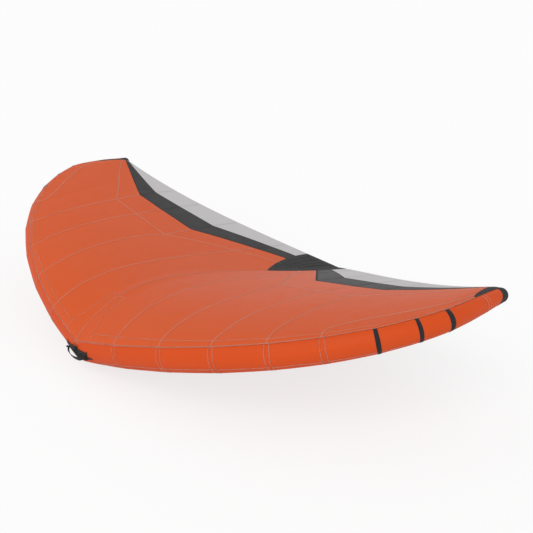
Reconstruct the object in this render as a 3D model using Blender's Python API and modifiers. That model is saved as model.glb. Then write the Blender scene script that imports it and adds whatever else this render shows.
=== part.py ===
"""Inflatable hand-held foiling wing, five square metres, in metres with +Z up.

The nose points to -Y and the span runs along X, mirrored about X = 0. The leading edge is a chain of sewn
fabric tubes over one bladder, the strut is a second tube down the middle, and the canopy is a single skin
cut into panels that meet at seams. Everything is placed from two curves, the tube's centre line and the
trailing edge, and from seam positions given as shares of the leading edge's half length.
"""

import bisect
import functools
import math

import bmesh
import bpy
from mathutils import Matrix, Vector

# Leading edge, half of it: two cubic spans, nose to last black band and band to tip
NOSE = Vector((0.0, 0.0, 0.0))
INNER_PULL = Vector((0.594, 0.015, 0.128))
SHOULDER_PULL = Vector((1.452, 0.243, 0.352))
SHOULDER = Vector((1.664, 0.871, 0.466))
TIP_START_PULL = Vector((1.708, 1.002, 0.490))
TIP_END_PULL = Vector((1.668, 1.160, 0.478))
TIP = Vector((1.671, 1.300, 0.480))

# Trailing edge, half of it: one cubic span from the strut's tail to the tip
TAIL = Vector((0.0, 1.928, -0.026))
TAIL_PULL = Vector((0.620, 1.490, 0.243))
CORNER_PULL = Vector((1.110, 1.420, 0.300))
CORNER = Vector((1.630, 1.285, 0.515))
TRAILING_SPREAD = 1.887

# Leading edge tube: radius over the half length, straight taper and a quicker one near the tip
NOSE_RADIUS = 0.1105
TAPER = 0.0597
TIP_TAPER = 0.0143
TIP_TAPER_POWER = 6

# Angles round the tube, from straight up, negative to the front
SEAM_AT_NOSE = -71.0
SEAM_TURN = 69.0
SEAM_TIP_TURN = 15.0
SEAM_TIP_POWER = 3
AFT_AT_NOSE = -42.0
AFT_TURN = 60.0

# Places along the half leading edge, as shares of its length
PANEL_SEAM_SHARES = (0.132, 0.257, 0.380, 0.494, 0.596)
BAND_SHARES = (0.691, 0.768, 0.829)
CANOPY_END_SHARE = 0.860
LAST_SEAM_SHARE = 0.933
CAP_EDGE_SHARE = 0.9835
CAP_SLANT_SHARE = 0.0085
STATION_STEPS = (3, 2, 2, 2, 2, 2, 2, 2, 1, 2, 1, 1)

# Canopy section: how far each end of the section follows its own direction, as shares of the chord
FRONT_REACH_SHARES = (0.256, 0.060)
REAR_REACH_SHARES = (0.572, 0.439)
REAR_DROP_DEGREES = (7.15, 11.35)

# Canopy seams: share of the chord at the centre, at two ribs and at the tip. The rear seam's share at the
# centre isn't among them, because it ends on a corner of the centre patch.
RIB_SHARES = (0.0, 0.221, 0.471, CANOPY_END_SHARE)
REAR_SEAM_RIB_SHARES = (0.675, 0.655, 0.850)
BLACK_FRONT_SHARES = (0.916, 0.798, 0.795, 0.930)
BLACK_REAR_SHARES = (0.958, 0.897, 0.890, 0.985)
CENTRE_PATCH_START_SHARE = 0.784
CENTRE_PATCH_WIDTH_SHARE = 0.052
CENTRE_PATCH_POINT_SHARE = 0.080

# How the two curves are walked along, and what counts as the same place on them
CURVE_STEPS = 160
SEARCH_STEPS = 30
DIRECTION_REACH_SHARE = 0.0016
SLOPE_REACH_SHARE = 0.01
SAME_SHARE = 1e-6

# Fabric and gaps
TUBE_FABRIC = 0.0015
CANOPY_FABRIC = 0.0012
BLADDER_FILM = 0.001
BAND_FABRIC = 0.0012
PIECE_GAP = 0.0004
TIP_PATCH_GAP = 0.0014
SKIN_LIFT = 0.0011
BLADDER_GAP = 0.0012
BLADDER_END_SHARE = 0.995

# Facets
TUBE_SIDES = 16
BLADDER_SIDES = 8
BAND_SIDES = 15
STRIP_STEPS = 3
FRONT_STEPS = 6
PATCH_FRONT_STEPS = 3
BLACK_STEPS = 2
GREY_STEPS = 2
SMOOTH_DEGREES = 50.0
CAP_STEPS = 2
GRIP_STEPS = 10
STRAP_STEPS = 10
BASE_STEPS = 6
KEEPER_SIDES = 12
LINK_SIDES = 12

# Black bands and caps
BAND_WIDTH = 0.014
BAND_LIFT = 0.0016
BAND_END_DEGREES = -268.0
BAND_SEAM_CLEAR_DEGREES = 1.5
CAP_DOME = 0.036
CAP_FLAT = 0.4

# Strut
STRUT_START_Y = 0.075
STRUT_FULL_Y = 0.750
STRUT_END_Y = 1.945
STRUT_FRONT_RADIUS = 0.086
STRUT_RADIUS = 0.097
STRUT_TAIL_RADIUS = 0.024
STRUT_TAPER_POWER = 3
STRUT_LOW_Y = 1.200
STRUT_LOW_Z = -0.1155
STRUT_FRONT_RISE = 0.0145
STRUT_TAIL_RISE = 0.0285
STRUT_TAIL_RUN = 0.750
STRUT_FRONT_RUN = 1.100
STRUT_CAP_LENGTH = 0.145
STRUT_SEAM_SHARES = (0.1907, 0.6962, 0.8551)
STRUT_CAP_SLANT = 0.045
STRUT_TIP_DOME = 0.022
STRUT_STATION_STEPS = (3, 4, 2, 3)
STRUT_BLADDER_STEPS = (1, 2, 2, 2)
STRUT_BLADDER_START_Y = 0.135
STRUT_BLADDER_END_CLEAR = 0.045
STRUT_SEAT_GAP = 0.0006
STRUT_CAP_Y = STRUT_END_Y - STRUT_CAP_LENGTH

# How far a cutter runs past what it cuts
OVERRUN = 0.030

# Centre web between strut and canopy
WEB_START_SHARE = 0.415
WEB_JOIN_Y = 0.150
WEB_END_Y = 1.287
WEB_THICKNESS = 0.0014
WEB_GAP = 0.0008
WEB_TUBE_DEGREES = (48, 45, 22.5, 0, -13)

# Air link between the two bladders, on the centre plane
LINK_RADIUS = 0.009
LINK_WALL = 0.002
LINK_FIT = 0.0005
LINK_START_Y = 0.088
LINK_END_Y = 0.150
LINK_Z = -0.015

# Inflation valve on the aft side of the tube
VALVE_SHARE = 0.066
VALVE_ANGLE = 101.25
VALVE_BODY_RADIUS = 0.020
VALVE_FLANGE_RADIUS = 0.029
VALVE_FLANGE = 0.003
VALVE_SEAT = 0.0018
VALVE_HEIGHT = 0.010
VALVE_BORE = 0.0105
VALVE_DEPTH = 0.0105
VALVE_FIT = 0.0006
VALVE_PORT_RADIUS = 0.0135
VALVE_CAP_RADIUS = 0.0205
VALVE_CAP_HEIGHT = 0.0065
VALVE_CAP_RIM = 0.0022
VALVE_PLUG = 0.005
VALVE_SEGMENTS = 20
VALVE_MERGE = 0.0001

# Soft handles under the strut, front then rear: where the strap runs and where the padded grip hangs
STRAP_START_YS = (0.236, 0.842)
STRAP_END_YS = (0.610, 1.296)
GRIP_START_YS = (0.340, 0.958)
GRIP_END_YS = (0.548, 1.221)
STRAP_RADIUS = 0.0034
GRIP_RADIUS = 0.0075
GRIP_SAG = 0.0185
GRIP_SAG_POWER = 1.4
GRIP_SWELL_POWER = 0.5
KEEPER_WALL = 0.0022
KEEPER_FIT = 0.0006
KEEPER_LENGTH = 0.022
KEEPER_END_CLEAR = 0.012
KEEPER_PAIR_PITCH = 0.045
KEEPER_SINK = 0.0008
BASE_HALF_ANGLE = 15.0
BASE_FABRIC = 0.0018
BASE_LIFT = 0.0008

# Nose: padded patch, pull strap and leash loop
PAD_HALF_SHARE = 0.0405
PAD_TOP_DEGREES = -82.0
PAD_LOW_DEGREES = -127.0
PAD_CORNER_DEGREES = -111.0
PAD_CORNER_SHARE = 0.028
PAD_THICKNESS = 0.0045
PAD_LIFT = 0.0019
PAD_STEPS = 5
NOSE_HINGE_Y = -0.1083
NOSE_HINGE_Z = -0.0260
NOSE_STRAP_HALF = 0.102
NOSE_STRAP_BEND_X = 0.077
NOSE_STRAP_FORWARD = 0.0200
NOSE_STRAP_DROP = 0.0200
NOSE_STRAP_WIDTH = 0.030
NOSE_STRAP_THICKNESS = 0.0032
NOSE_STRAP_TILT = -29.0
NOSE_STRAP_SIDES = 8
NOSE_KEEPER_X = 0.080
NOSE_KEEPER_LENGTH = 0.017
LOOP_HALF_WIDTH = 0.024
LOOP_FLAT_HALF = 0.012
LOOP_HEIGHT = 0.026
LOOP_LOW_Z = -0.002
LOOP_STAND_OFF = 0.011
LOOP_THICKNESS = 0.0026

# Lowest point under the middle of the wing's length, which is where the finished part's origin goes
BASE_POINT = Vector((0.0, 0.9157, -0.14855))

ORANGE_TUBE = ("dacron_orange", (0.69, 0.090, 0.022), 0.55, 0.0)
ORANGE_CANOPY = ("ripstop_orange", (0.62, 0.125, 0.058), 0.60, 0.0)
ORANGE_WEB = ("web_orange", (0.44, 0.055, 0.016), 0.60, 0.0)
BLACK_FABRIC = ("fabric_black", (0.058, 0.056, 0.057), 0.70, 0.0)
BLACK_WEBBING = ("webbing_black", (0.024, 0.024, 0.025), 0.75, 0.0)
GREY_FABRIC = ("fabric_grey", (0.50, 0.49, 0.49), 0.60, 0.0)
TAPE_ORANGE = ("tape_orange", (0.66, 0.13, 0.055), 0.60, 0.0)
CLEAR_FILM = ("film_clear", (0.75, 0.78, 0.80), 0.30, 0.0)
VALVE_GREY = ("valve_plastic", (0.10, 0.10, 0.105), 0.40, 0.0)

for old in list(bpy.data.objects):
    bpy.data.objects.remove(old, do_unlink=True)

PARTS = bpy.data.collections.new("wing_foil_wing")
CUTTERS = bpy.data.collections.new("cutters")
for group in (PARTS, CUTTERS):
    bpy.context.scene.collection.children.link(group)
CUTTERS.hide_render = True

Z_UP = Vector((0.0, 0.0, 1.0))
SIDES = (("right", 1), ("left", -1))


def cubic(a, b, c, d, t):
    u = 1 - t
    return a * u**3 + b * (3 * t * u * u) + c * (3 * t * t * u) + d * t**3


def traced(spans):
    """The points of these cubic spans, and the length run at each."""
    points = [spans[0][0]]
    for span in spans:
        points += [cubic(*span, i / CURVE_STEPS) for i in range(1, CURVE_STEPS + 1)]
    runs = [0.0]
    for a, b in zip(points, points[1:]):
        runs.append(runs[-1] + (b - a).length)
    return points, runs


CENTRE_POINTS, CENTRE_RUNS = traced(
    [(NOSE, INNER_PULL, SHOULDER_PULL, SHOULDER), (SHOULDER, TIP_START_PULL, TIP_END_PULL, TIP)]
)
HALF_LENGTH = CENTRE_RUNS[-1]
SKIN_TOP = SKIN_LIFT + CANOPY_FABRIC


def centre(share):
    run = min(max(share, 0.0), 1.0) * HALF_LENGTH
    i = min(max(bisect.bisect_right(CENTRE_RUNS, run), 1), len(CENTRE_RUNS) - 1)
    part = (run - CENTRE_RUNS[i - 1]) / (CENTRE_RUNS[i] - CENTRE_RUNS[i - 1])
    return CENTRE_POINTS[i - 1].lerp(CENTRE_POINTS[i], part)


def frame(share):
    """Centre, direction to the tip, up and aft directions of the tube at this share."""
    before, after = centre(share - DIRECTION_REACH_SHARE), centre(share + DIRECTION_REACH_SHARE)
    along = (after - before).normalized()
    up = (Z_UP - along * along.z).normalized()
    return centre(share), along, up, up.cross(along)


def tube_radius(share):
    return NOSE_RADIUS - TAPER * share - TIP_TAPER * share**TIP_TAPER_POWER


def seam_angle(share):
    return math.radians(SEAM_AT_NOSE + SEAM_TURN * share + SEAM_TIP_TURN * share**SEAM_TIP_POWER)


def aft_angle(share):
    return math.radians(AFT_AT_NOSE + AFT_TURN * share)


def to_mirror_plane(point, along, share):
    """The nose section is a mitre: its points slide along the tube onto X = 0."""
    return point if share > 0 else point - along * (point.x / along.x)


def on_tube(share, angle, lift=0.0, radius=None):
    middle, along, up, aft = frame(share)
    size = tube_radius(share) + lift if radius is None else radius
    point = middle + (up * math.cos(angle) + aft * math.sin(angle)) * size
    return to_mirror_plane(point, along, share)


def between(pair, share):
    return pair[0] + (pair[1] - pair[0]) * share


def canopy_section(share, chord_share):
    """A point on the canopy's section, which leaves the tube along the tube's own tangent at the aft seam."""
    middle, along, up, aft = frame(share)
    angle = aft_angle(share)
    start = middle + (up * math.cos(angle) + aft * math.sin(angle)) * (tube_radius(share) + SKIN_TOP)
    leave = aft * math.cos(angle) - up * math.sin(angle)
    end = cubic(TAIL, TAIL_PULL, CORNER_PULL, CORNER, 1 - (1 - share) ** TRAILING_SPREAD)
    chord = (end - start).length
    back = (end - start).normalized()
    normal = (up - back * up.dot(back)).normalized()
    drop = math.radians(between(REAR_DROP_DEGREES, share))
    arrive = back * math.cos(drop) - normal * math.sin(drop)
    front_pull = start + leave * (chord * between(FRONT_REACH_SHARES, share))
    rear_pull = end - arrive * (chord * between(REAR_REACH_SHARES, share))
    return cubic(start, front_pull, rear_pull, end, chord_share)


def canopy_point(share, chord_share):
    """A point on the canopy. Near the middle, sections slide along the tube so that the first is on X = 0."""
    point = canopy_section(share, chord_share)
    if share < STRIP_SHARES[1]:
        along = frame(0.0)[1]
        slide = canopy_section(0.0, chord_share).x / along.x
        point = point - along * (slide * (1 - share / STRIP_SHARES[1]))
    if share == 0:
        point.x = 0.0
    return point


@functools.lru_cache(maxsize=None)
def canopy_underside(y_wanted):
    """Height of the canopy's underside on the centre plane."""
    low, high = 0.0, 1.0
    for _ in range(SEARCH_STEPS):
        middle = (low + high) / 2
        if canopy_point(0.0, middle).y < y_wanted:
            low = middle
        else:
            high = middle
    point = canopy_point(0.0, high)
    slope = (point - canopy_point(0.0, high - SLOPE_REACH_SHARE)).normalized()
    return point.z - CANOPY_FABRIC / slope.y


def at_ribs(values, share):
    """Straight seam pieces between the ribs, as the panels are cut."""
    for i in range(len(RIB_SHARES) - 1):
        if share <= RIB_SHARES[i + 1] or i == len(RIB_SHARES) - 2:
            part = (share - RIB_SHARES[i]) / (RIB_SHARES[i + 1] - RIB_SHARES[i])
            return values[i] + (values[i + 1] - values[i]) * part


def evenly(low, high, steps):
    return [low + (high - low) * i / steps for i in range(steps + 1)]


PATCH_FRONT_ROWS = evenly(CENTRE_PATCH_START_SHARE, BLACK_FRONT_SHARES[0], PATCH_FRONT_STEPS)
FRONT_ROWS = evenly(0.0, CENTRE_PATCH_START_SHARE, FRONT_STEPS)[:-1] + PATCH_FRONT_ROWS[:-1]
REAR_ROWS = PATCH_FRONT_ROWS[-2:]
BLACK_ROWS = evenly(BLACK_FRONT_SHARES[0], BLACK_REAR_SHARES[0], BLACK_STEPS)
GREY_ROWS = evenly(BLACK_REAR_SHARES[0], 1.0, GREY_STEPS)
CENTRE_PATCH_ROWS = PATCH_FRONT_ROWS + BLACK_ROWS[1:] + GREY_ROWS[1:]
REAR_SEAM_SHARES = (REAR_ROWS[0], *REAR_SEAM_RIB_SHARES)


def centre_patch_share(chord_share):
    """Half width of the black centre patch as a share of the leading edge, straight between its rows."""
    widths = []
    for row in CENTRE_PATCH_ROWS:
        left = (1 - row) / (1 - CENTRE_PATCH_START_SHARE)
        widths.append(CENTRE_PATCH_WIDTH_SHARE * (1 - left**2))
    for i in range(len(CENTRE_PATCH_ROWS) - 1):
        low, high = CENTRE_PATCH_ROWS[i], CENTRE_PATCH_ROWS[i + 1]
        if low < chord_share <= high:
            return widths[i] + (widths[i + 1] - widths[i]) * (chord_share - low) / (high - low)
    return 0.0


def stepped(knots, steps):
    """Every knot, with this many even steps from each to the next."""
    found = [knots[0]]
    for low, high, count in zip(knots, knots[1:], steps):
        found += evenly(low, high, count)[1:]
    return found


SEAM_KNOTS = [0.0, *PANEL_SEAM_SHARES, *BAND_SHARES, CANOPY_END_SHARE, LAST_SEAM_SHARE, CAP_EDGE_SHARE, 1.0]
STATIONS = stepped(SEAM_KNOTS, STATION_STEPS)
STRIP_SHARES = [s for s in STATIONS if s < CANOPY_END_SHARE - SAME_SHARE] + [CANOPY_END_SHARE]


def stations_between(low, high, inset):
    inner = [s for s in STATIONS if low + SAME_SHARE < s < high - SAME_SHARE]
    return [low + inset] + inner + [high - inset]


def finished(obj, paint):
    name, colour, roughness, metallic = paint
    material = bpy.data.materials.get(name)
    if material is None:
        material = bpy.data.materials.new(name)
        material.use_nodes = True
        surface = material.node_tree.nodes["Principled BSDF"]
        surface.inputs["Base Color"].default_value = (*colour, 1.0)
        surface.inputs["Roughness"].default_value = roughness
        surface.inputs["Metallic"].default_value = metallic
    own = material.copy()
    own.name = f"{obj.name}_{name}"
    obj.data.materials.clear()
    obj.data.materials.append(own)
    return obj


def mesh_object(name, points, faces, group=None):
    mesh = bpy.data.meshes.new(name)
    mesh.from_pydata([tuple(p) for p in points], [], faces)
    mesh.validate()
    obj = bpy.data.objects.new(name, mesh)
    (group or PARTS).objects.link(obj)
    return obj


def shaded(obj):
    """Round where its facets meet at a small angle, and sharp along real edges."""
    obj.data.shade_smooth()
    obj.data.set_sharp_from_angle(angle=math.radians(SMOOTH_DEGREES))
    return obj


def skin(name, rows, group=None, closed=False, caps="", flip=False):
    """A sheet through these rows of points, or a tube when closed, with its start or end row filled."""
    width = len(rows[0])
    points = [p for row in rows for p in row]
    faces = []
    for i in range(len(rows) - 1):
        for j in range(width if closed else width - 1):
            k = (j + 1) % width
            faces.append((i * width + j, i * width + k, (i + 1) * width + k, (i + 1) * width + j))
    if "start" in caps:
        faces.append(tuple(reversed(range(width))))
    if "end" in caps:
        faces.append(tuple(range((len(rows) - 1) * width, len(rows) * width)))
    if flip:
        faces = [tuple(reversed(face)) for face in faces]
    return shaded(mesh_object(name, points, faces, group))


def solidify(obj, thickness):
    modifier = obj.modifiers.new("fabric", "SOLIDIFY")
    modifier.thickness = thickness
    modifier.offset = -1.0
    modifier.use_even_offset = True
    modifier.use_quality_normals = True
    return obj


def combined(obj, other, operation):
    other.display_type = "WIRE"
    modifier = obj.modifiers.new(other.name, "BOOLEAN")
    modifier.operation = operation
    modifier.solver = "EXACT"
    modifier.object = other
    return obj


def cut(obj, cutter):
    return combined(obj, cutter, "DIFFERENCE")


def joined(obj, other):
    return combined(obj, other, "UNION")


def rod_between(name, radius, start, end, group, sides):
    """A straight round rod, from a cylinder primitive turned onto its line."""
    line = end - start
    bpy.ops.mesh.primitive_cylinder_add(vertices=sides, radius=radius, depth=line.length)
    obj = bpy.context.object
    obj.name = name
    obj.data.name = name
    turn = line.to_track_quat("Z", "Y").to_matrix().to_4x4()
    obj.matrix_world = Matrix.Translation((start + end) / 2) @ turn
    for owner in list(obj.users_collection):
        owner.objects.unlink(obj)
    group.objects.link(obj)
    return shaded(obj)


def set_pivot(obj, point):
    """Moves a piece's origin onto its joint axis."""
    obj.data.transform(Matrix.Translation(-point))
    obj.location = point
    return obj


def mirrored(point, side):
    return Vector((point.x * side, point.y, point.z))


# Leading edge casing


def ring(share, radius_change=0.0, sides=TUBE_SIDES):
    """One closed section of the tube. The first point is at the bottom, where the casing's own seam is."""
    return [on_tube(share, math.pi + 2 * math.pi * i / sides, radius_change) for i in range(sides)]


def cap_edge(angle, inset):
    """Where the tip cap's slanted edge runs, as a share of the half length."""
    return CAP_EDGE_SHARE + CAP_SLANT_SHARE * math.cos(angle) + inset


def fabric_tube(name, rows, paint, side, caps=""):
    """A sewn length of tube, its rows going from the middle of the wing towards one side."""
    rows = [[mirrored(point, side) for point in row] for row in rows]
    obj = skin(name, rows, closed=True, caps=caps, flip=side > 0)
    return finished(solidify(obj, TUBE_FABRIC), paint)


gap_share = PIECE_GAP / 2 / HALF_LENGTH
tip_gap_share = TIP_PATCH_GAP / 2 / HALF_LENGTH

nose_shares = stations_between(0.0, PANEL_SEAM_SHARES[0], gap_share)
nose_rows = [[mirrored(p, -1) for p in ring(s)] for s in reversed(nose_shares[1:])]
nose_rows += [ring(s) for s in [0.0] + nose_shares[1:]]
nose_casing = fabric_tube("le_casing_nose", nose_rows, ORANGE_TUBE, 1)

casing_edges = [*PANEL_SEAM_SHARES, LAST_SEAM_SHARE]
angles = [math.pi + 2 * math.pi * i / TUBE_SIDES for i in range(TUBE_SIDES)]
for side_name, side in SIDES:
    for number, (low, high) in enumerate(zip(casing_edges, casing_edges[1:]), start=1):
        rows = [ring(s) for s in stations_between(low, high, gap_share)]
        fabric_tube(f"le_casing_{number}_{side_name}", rows, ORANGE_TUBE, side)

    rows = [ring(s) for s in (LAST_SEAM_SHARE + gap_share, (LAST_SEAM_SHARE + CAP_EDGE_SHARE) / 2)]
    rows.append([on_tube(cap_edge(a, -gap_share), a) for a in angles])
    fabric_tube(f"le_casing_tip_{side_name}", rows, ORANGE_TUBE, side)

    rows = [[on_tube(cap_edge(a, gap_share), a) for a in angles], [on_tube(1.0, a) for a in angles]]
    middle, along, up, aft = frame(1.0)
    for i in range(1, CAP_STEPS + 1):
        turn = math.pi / 2 * i / (CAP_STEPS + CAP_FLAT)
        size = tube_radius(1.0) * math.cos(turn)
        shift = along * (CAP_DOME * math.sin(turn))
        rows.append([on_tube(1.0, a, radius=size) + shift for a in angles])
    fabric_tube(f"le_tip_cap_{side_name}", rows, BLACK_WEBBING, side, caps="end")

# Black bands round the outer tube, open along the top where the canopy is sewn on

for side_name, side in SIDES:
    for number, share in enumerate(BAND_SHARES, start=1):
        first = seam_angle(share) - math.radians(BAND_SEAM_CLEAR_DEGREES)
        last = math.radians(BAND_END_DEGREES)
        half = BAND_WIDTH / 2 / HALF_LENGTH
        rows = []
        for s in (share - half, share + half):
            turn = [first + (last - first) * i / BAND_SIDES for i in range(BAND_SIDES + 1)]
            rows.append([mirrored(on_tube(s, a, BAND_LIFT + BAND_FABRIC), side) for a in turn])
        obj = skin(f"le_band_{number}_{side_name}", rows, flip=side < 0)
        finished(solidify(obj, BAND_FABRIC), BLACK_WEBBING)

# One bladder through the whole leading edge, open at the valve and at the air link

bladder_drop = -(TUBE_FABRIC + BLADDER_GAP)


def bladder_ring(share):
    size = (tube_radius(share) + bladder_drop) * math.cos(math.pi / TUBE_SIDES)
    return [on_tube(share, 2 * math.pi * i / BLADDER_SIDES, radius=size) for i in range(BLADDER_SIDES)]


bladder_shares = [s for s in STATIONS if s < BLADDER_END_SHARE] + [BLADDER_END_SHARE]
bladder_rows = [[mirrored(p, -1) for p in bladder_ring(s)] for s in reversed(bladder_shares[1:])]
bladder_rows += [bladder_ring(s) for s in bladder_shares]
le_bladder = skin("le_bladder", bladder_rows, closed=True, caps="start and end", flip=True)
finished(solidify(le_bladder, BLADDER_FILM), CLEAR_FILM)

# Canopy: seam strip on the tube, then panels back to the trailing edge


def half_gap(point, share, side):
    """Keeps the two halves apart where they meet on the centre plane."""
    shift = PIECE_GAP / 2 if share == 0 else 0.0
    return mirrored(point + Vector((shift, 0.0, 0.0)), side)


def strip_point(share, part):
    low = seam_angle(share)
    high = aft_angle(share) - PIECE_GAP / tube_radius(share)
    return on_tube(share, low + (high - low) * part, SKIN_TOP)


for side_name, side in SIDES:
    rows = [
        [half_gap(strip_point(s, j / STRIP_STEPS), s, side) for j in range(STRIP_STEPS + 1)]
        for s in [0.0] + STRIP_SHARES[1:-1] + [CANOPY_END_SHARE - tip_gap_share]
    ]
    obj = skin(f"le_seam_strip_{side_name}", rows, flip=side > 0)
    finished(solidify(obj, CANOPY_FABRIC), TAPE_ORANGE)


def parts_of(rows):
    return [(row - rows[0]) / (rows[-1] - rows[0]) for row in rows]


def panel(name, paint, side, low_values, high_values, parts):
    """A canopy panel between two seams, from the centre plane or centre patch to the tip patch."""
    rows = []
    for share in STRIP_SHARES[:-1] + [CANOPY_END_SHARE - tip_gap_share]:
        chord = (canopy_point(share, 1.0) - canopy_point(share, 0.0)).length
        low = at_ribs(low_values, share) + PIECE_GAP / chord if low_values else 0.0
        high = at_ribs(high_values, share) - PIECE_GAP / chord if high_values else 1.0
        row = []
        for part in parts:
            chord_share = low + (high - low) * part
            edge = centre_patch_share(chord_share)
            here = edge + (CANOPY_END_SHARE - edge) * share / CANOPY_END_SHARE
            point = canopy_point(here, chord_share)
            if share == 0:
                point.x += PIECE_GAP if edge > 0 else PIECE_GAP / 2
            row.append(mirrored(point, side))
        rows.append(row)
    obj = skin(name, rows, flip=side > 0)
    return finished(solidify(obj, CANOPY_FABRIC), paint)


PANELS = (
    ("canopy_front", ORANGE_CANOPY, None, REAR_SEAM_SHARES, parts_of(FRONT_ROWS)),
    ("canopy_rear", ORANGE_CANOPY, REAR_SEAM_SHARES, BLACK_FRONT_SHARES, parts_of(REAR_ROWS)),
    ("canopy_black", BLACK_FABRIC, BLACK_FRONT_SHARES, BLACK_REAR_SHARES, parts_of(BLACK_ROWS)),
    ("canopy_grey", GREY_FABRIC, BLACK_REAR_SHARES, None, parts_of(GREY_ROWS)),
)
for side_name, side in SIDES:
    for name, paint, low_values, high_values, parts in PANELS:
        panel(f"{name}_{side_name}", paint, side, low_values, high_values, parts)

rows = []
for chord_share in CENTRE_PATCH_ROWS:
    edge = centre_patch_share(chord_share)
    across = [canopy_point(edge * abs(k) / 2, chord_share) for k in range(-2, 3)]
    rows.append([mirrored(point, -1 if k < 2 else 1) for k, point in enumerate(across)])
rows[0] = [point.lerp(rows[1][k], CENTRE_PATCH_POINT_SHARE) for k, point in enumerate(rows[0])]
finished(solidify(skin("canopy_centre_patch", rows), CANOPY_FABRIC), BLACK_FABRIC)

TIP_SHARES = [CANOPY_END_SHARE + tip_gap_share]
TIP_SHARES += [s for s in STATIONS if s > CANOPY_END_SHARE + SAME_SHARE]
tip_rows = [0.0]
for _, _, low_values, high_values, parts in PANELS:
    low = low_values[-1] if low_values else 0.0
    high = high_values[-1] if high_values else 1.0
    tip_rows += [low + (high - low) * part for part in parts[1:]]
for side_name, side in SIDES:
    rows = []
    for share in TIP_SHARES:
        row = [strip_point(share, j / STRIP_STEPS) for j in range(STRIP_STEPS)]
        row += [canopy_point(share, chord_share) for chord_share in tip_rows]
        rows.append([mirrored(p, side) for p in row])
    obj = skin(f"canopy_tip_patch_{side_name}", rows, flip=side > 0)
    finished(solidify(obj, CANOPY_FABRIC), BLACK_FABRIC)

# Strut casing, tail cap and bladder


def strut_radius(y):
    """Full in the middle, slimmer at both ends, and no taller than the canopy that lies on its tail."""
    if y < STRUT_FULL_Y:
        part = (STRUT_FULL_Y - y) / (STRUT_FULL_Y - STRUT_START_Y)
        return STRUT_RADIUS - (STRUT_RADIUS - STRUT_FRONT_RADIUS) * part**2
    part = (y - STRUT_FULL_Y) / (STRUT_END_Y - STRUT_FULL_Y)
    size = STRUT_TAIL_RADIUS + (STRUT_RADIUS - STRUT_TAIL_RADIUS) * (1 - part**STRUT_TAPER_POWER)
    return min(size, (canopy_underside(y) - STRUT_SEAT_GAP - strut_bottom(y)) / 2)


def strut_bottom(y):
    if y < STRUT_LOW_Y:
        return STRUT_LOW_Z + STRUT_FRONT_RISE * ((STRUT_LOW_Y - y) / STRUT_FRONT_RUN) ** 2
    return STRUT_LOW_Z + STRUT_TAIL_RISE * ((y - STRUT_LOW_Y) / STRUT_TAIL_RUN) ** 2


def on_strut(y, angle, lift=0.0, shrink=1.0):
    """Angle from straight down, towards +X."""
    size = (strut_radius(y) + lift) * shrink
    return Vector((size * math.sin(angle), y, strut_bottom(y) + strut_radius(y) - size * math.cos(angle)))


def strut_ring(y, lift=0.0, shrink=1.0, sides=TUBE_SIDES):
    return [on_strut(y, 2 * math.pi * i / sides, lift, shrink) for i in range(sides)]


def slanted_ring(y):
    """The strut's section along the tail cap's slanted edge."""
    turns = [2 * math.pi * i / TUBE_SIDES for i in range(TUBE_SIDES)]
    return [on_strut(y - STRUT_CAP_SLANT * math.cos(a), a) for a in turns]


strut_seams = [STRUT_START_Y + (STRUT_CAP_Y - STRUT_START_Y) * share for share in STRUT_SEAM_SHARES]
strut_knots = [STRUT_START_Y, *strut_seams, STRUT_CAP_Y]
STRUT_YS = stepped(strut_knots, STRUT_STATION_STEPS)
STRUT_NAMES = ("strut_casing_front", "strut_casing_middle", "strut_casing_rear", "strut_casing_tail")
strut_casings = {}
for name, low, high, steps in zip(STRUT_NAMES, strut_knots, strut_knots[1:], STRUT_STATION_STEPS):
    ys = evenly(low, high, steps)
    ys[0] += PIECE_GAP / 2
    ys[-1] -= PIECE_GAP / 2
    rows = [strut_ring(y) for y in ys]
    if high == STRUT_CAP_Y:
        rows[-1] = slanted_ring(ys[-1])
    strut_casings[name] = fabric_tube(name, rows, ORANGE_TUBE, 1)

cap_start = STRUT_CAP_Y + PIECE_GAP / 2
rows = [slanted_ring(cap_start)]
rows += [strut_ring(y) for y in ((cap_start + STRUT_CAP_SLANT + STRUT_END_Y) / 2, STRUT_END_Y)]
for i in range(1, CAP_STEPS + 1):
    turn = math.pi / 2 * i / (CAP_STEPS + CAP_FLAT)
    row = strut_ring(STRUT_END_Y, shrink=math.cos(turn))
    rows.append([p + Vector((0.0, STRUT_TIP_DOME * math.sin(turn), 0.0)) for p in row])
fabric_tube("strut_tail_cap", rows, BLACK_WEBBING, 1, caps="end")

strut_shrink = math.cos(math.pi / TUBE_SIDES)
bladder_ys = stepped([STRUT_BLADDER_START_Y, *strut_knots[1:]], STRUT_BLADDER_STEPS)
bladder_ys.append(STRUT_END_Y - STRUT_BLADDER_END_CLEAR)
rows = [strut_ring(y, bladder_drop, strut_shrink, BLADDER_SIDES) for y in bladder_ys]
strut_bladder = skin("strut_bladder", rows, closed=True, caps="start and end", flip=True)
finished(solidify(strut_bladder, BLADDER_FILM), CLEAR_FILM)

# Saddle cut where the strut meets the leading edge

saddle_shares = [s for s in STATIONS if s <= PANEL_SEAM_SHARES[0] + SAME_SHARE]
saddle_rows = [[mirrored(p, -1) for p in ring(s, PIECE_GAP)] for s in reversed(saddle_shares[1:])]
saddle_rows += [ring(s, PIECE_GAP) for s in saddle_shares]
saddle = skin("saddle_cutter", saddle_rows, CUTTERS, closed=True, caps="start and end", flip=True)
cut(strut_casings["strut_casing_front"], saddle)

# Air link through the openings between the two bladders

link_start = Vector((0.0, LINK_START_Y, LINK_Z))
link_end = Vector((0.0, LINK_END_Y, LINK_Z))
link_over = Vector((0.0, OVERRUN, 0.0))


def link_rod(name, radius, over, group):
    start, end = link_start - link_over * over, link_end + link_over * over
    return rod_between(name, radius, start, end, group, LINK_SIDES)


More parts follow.
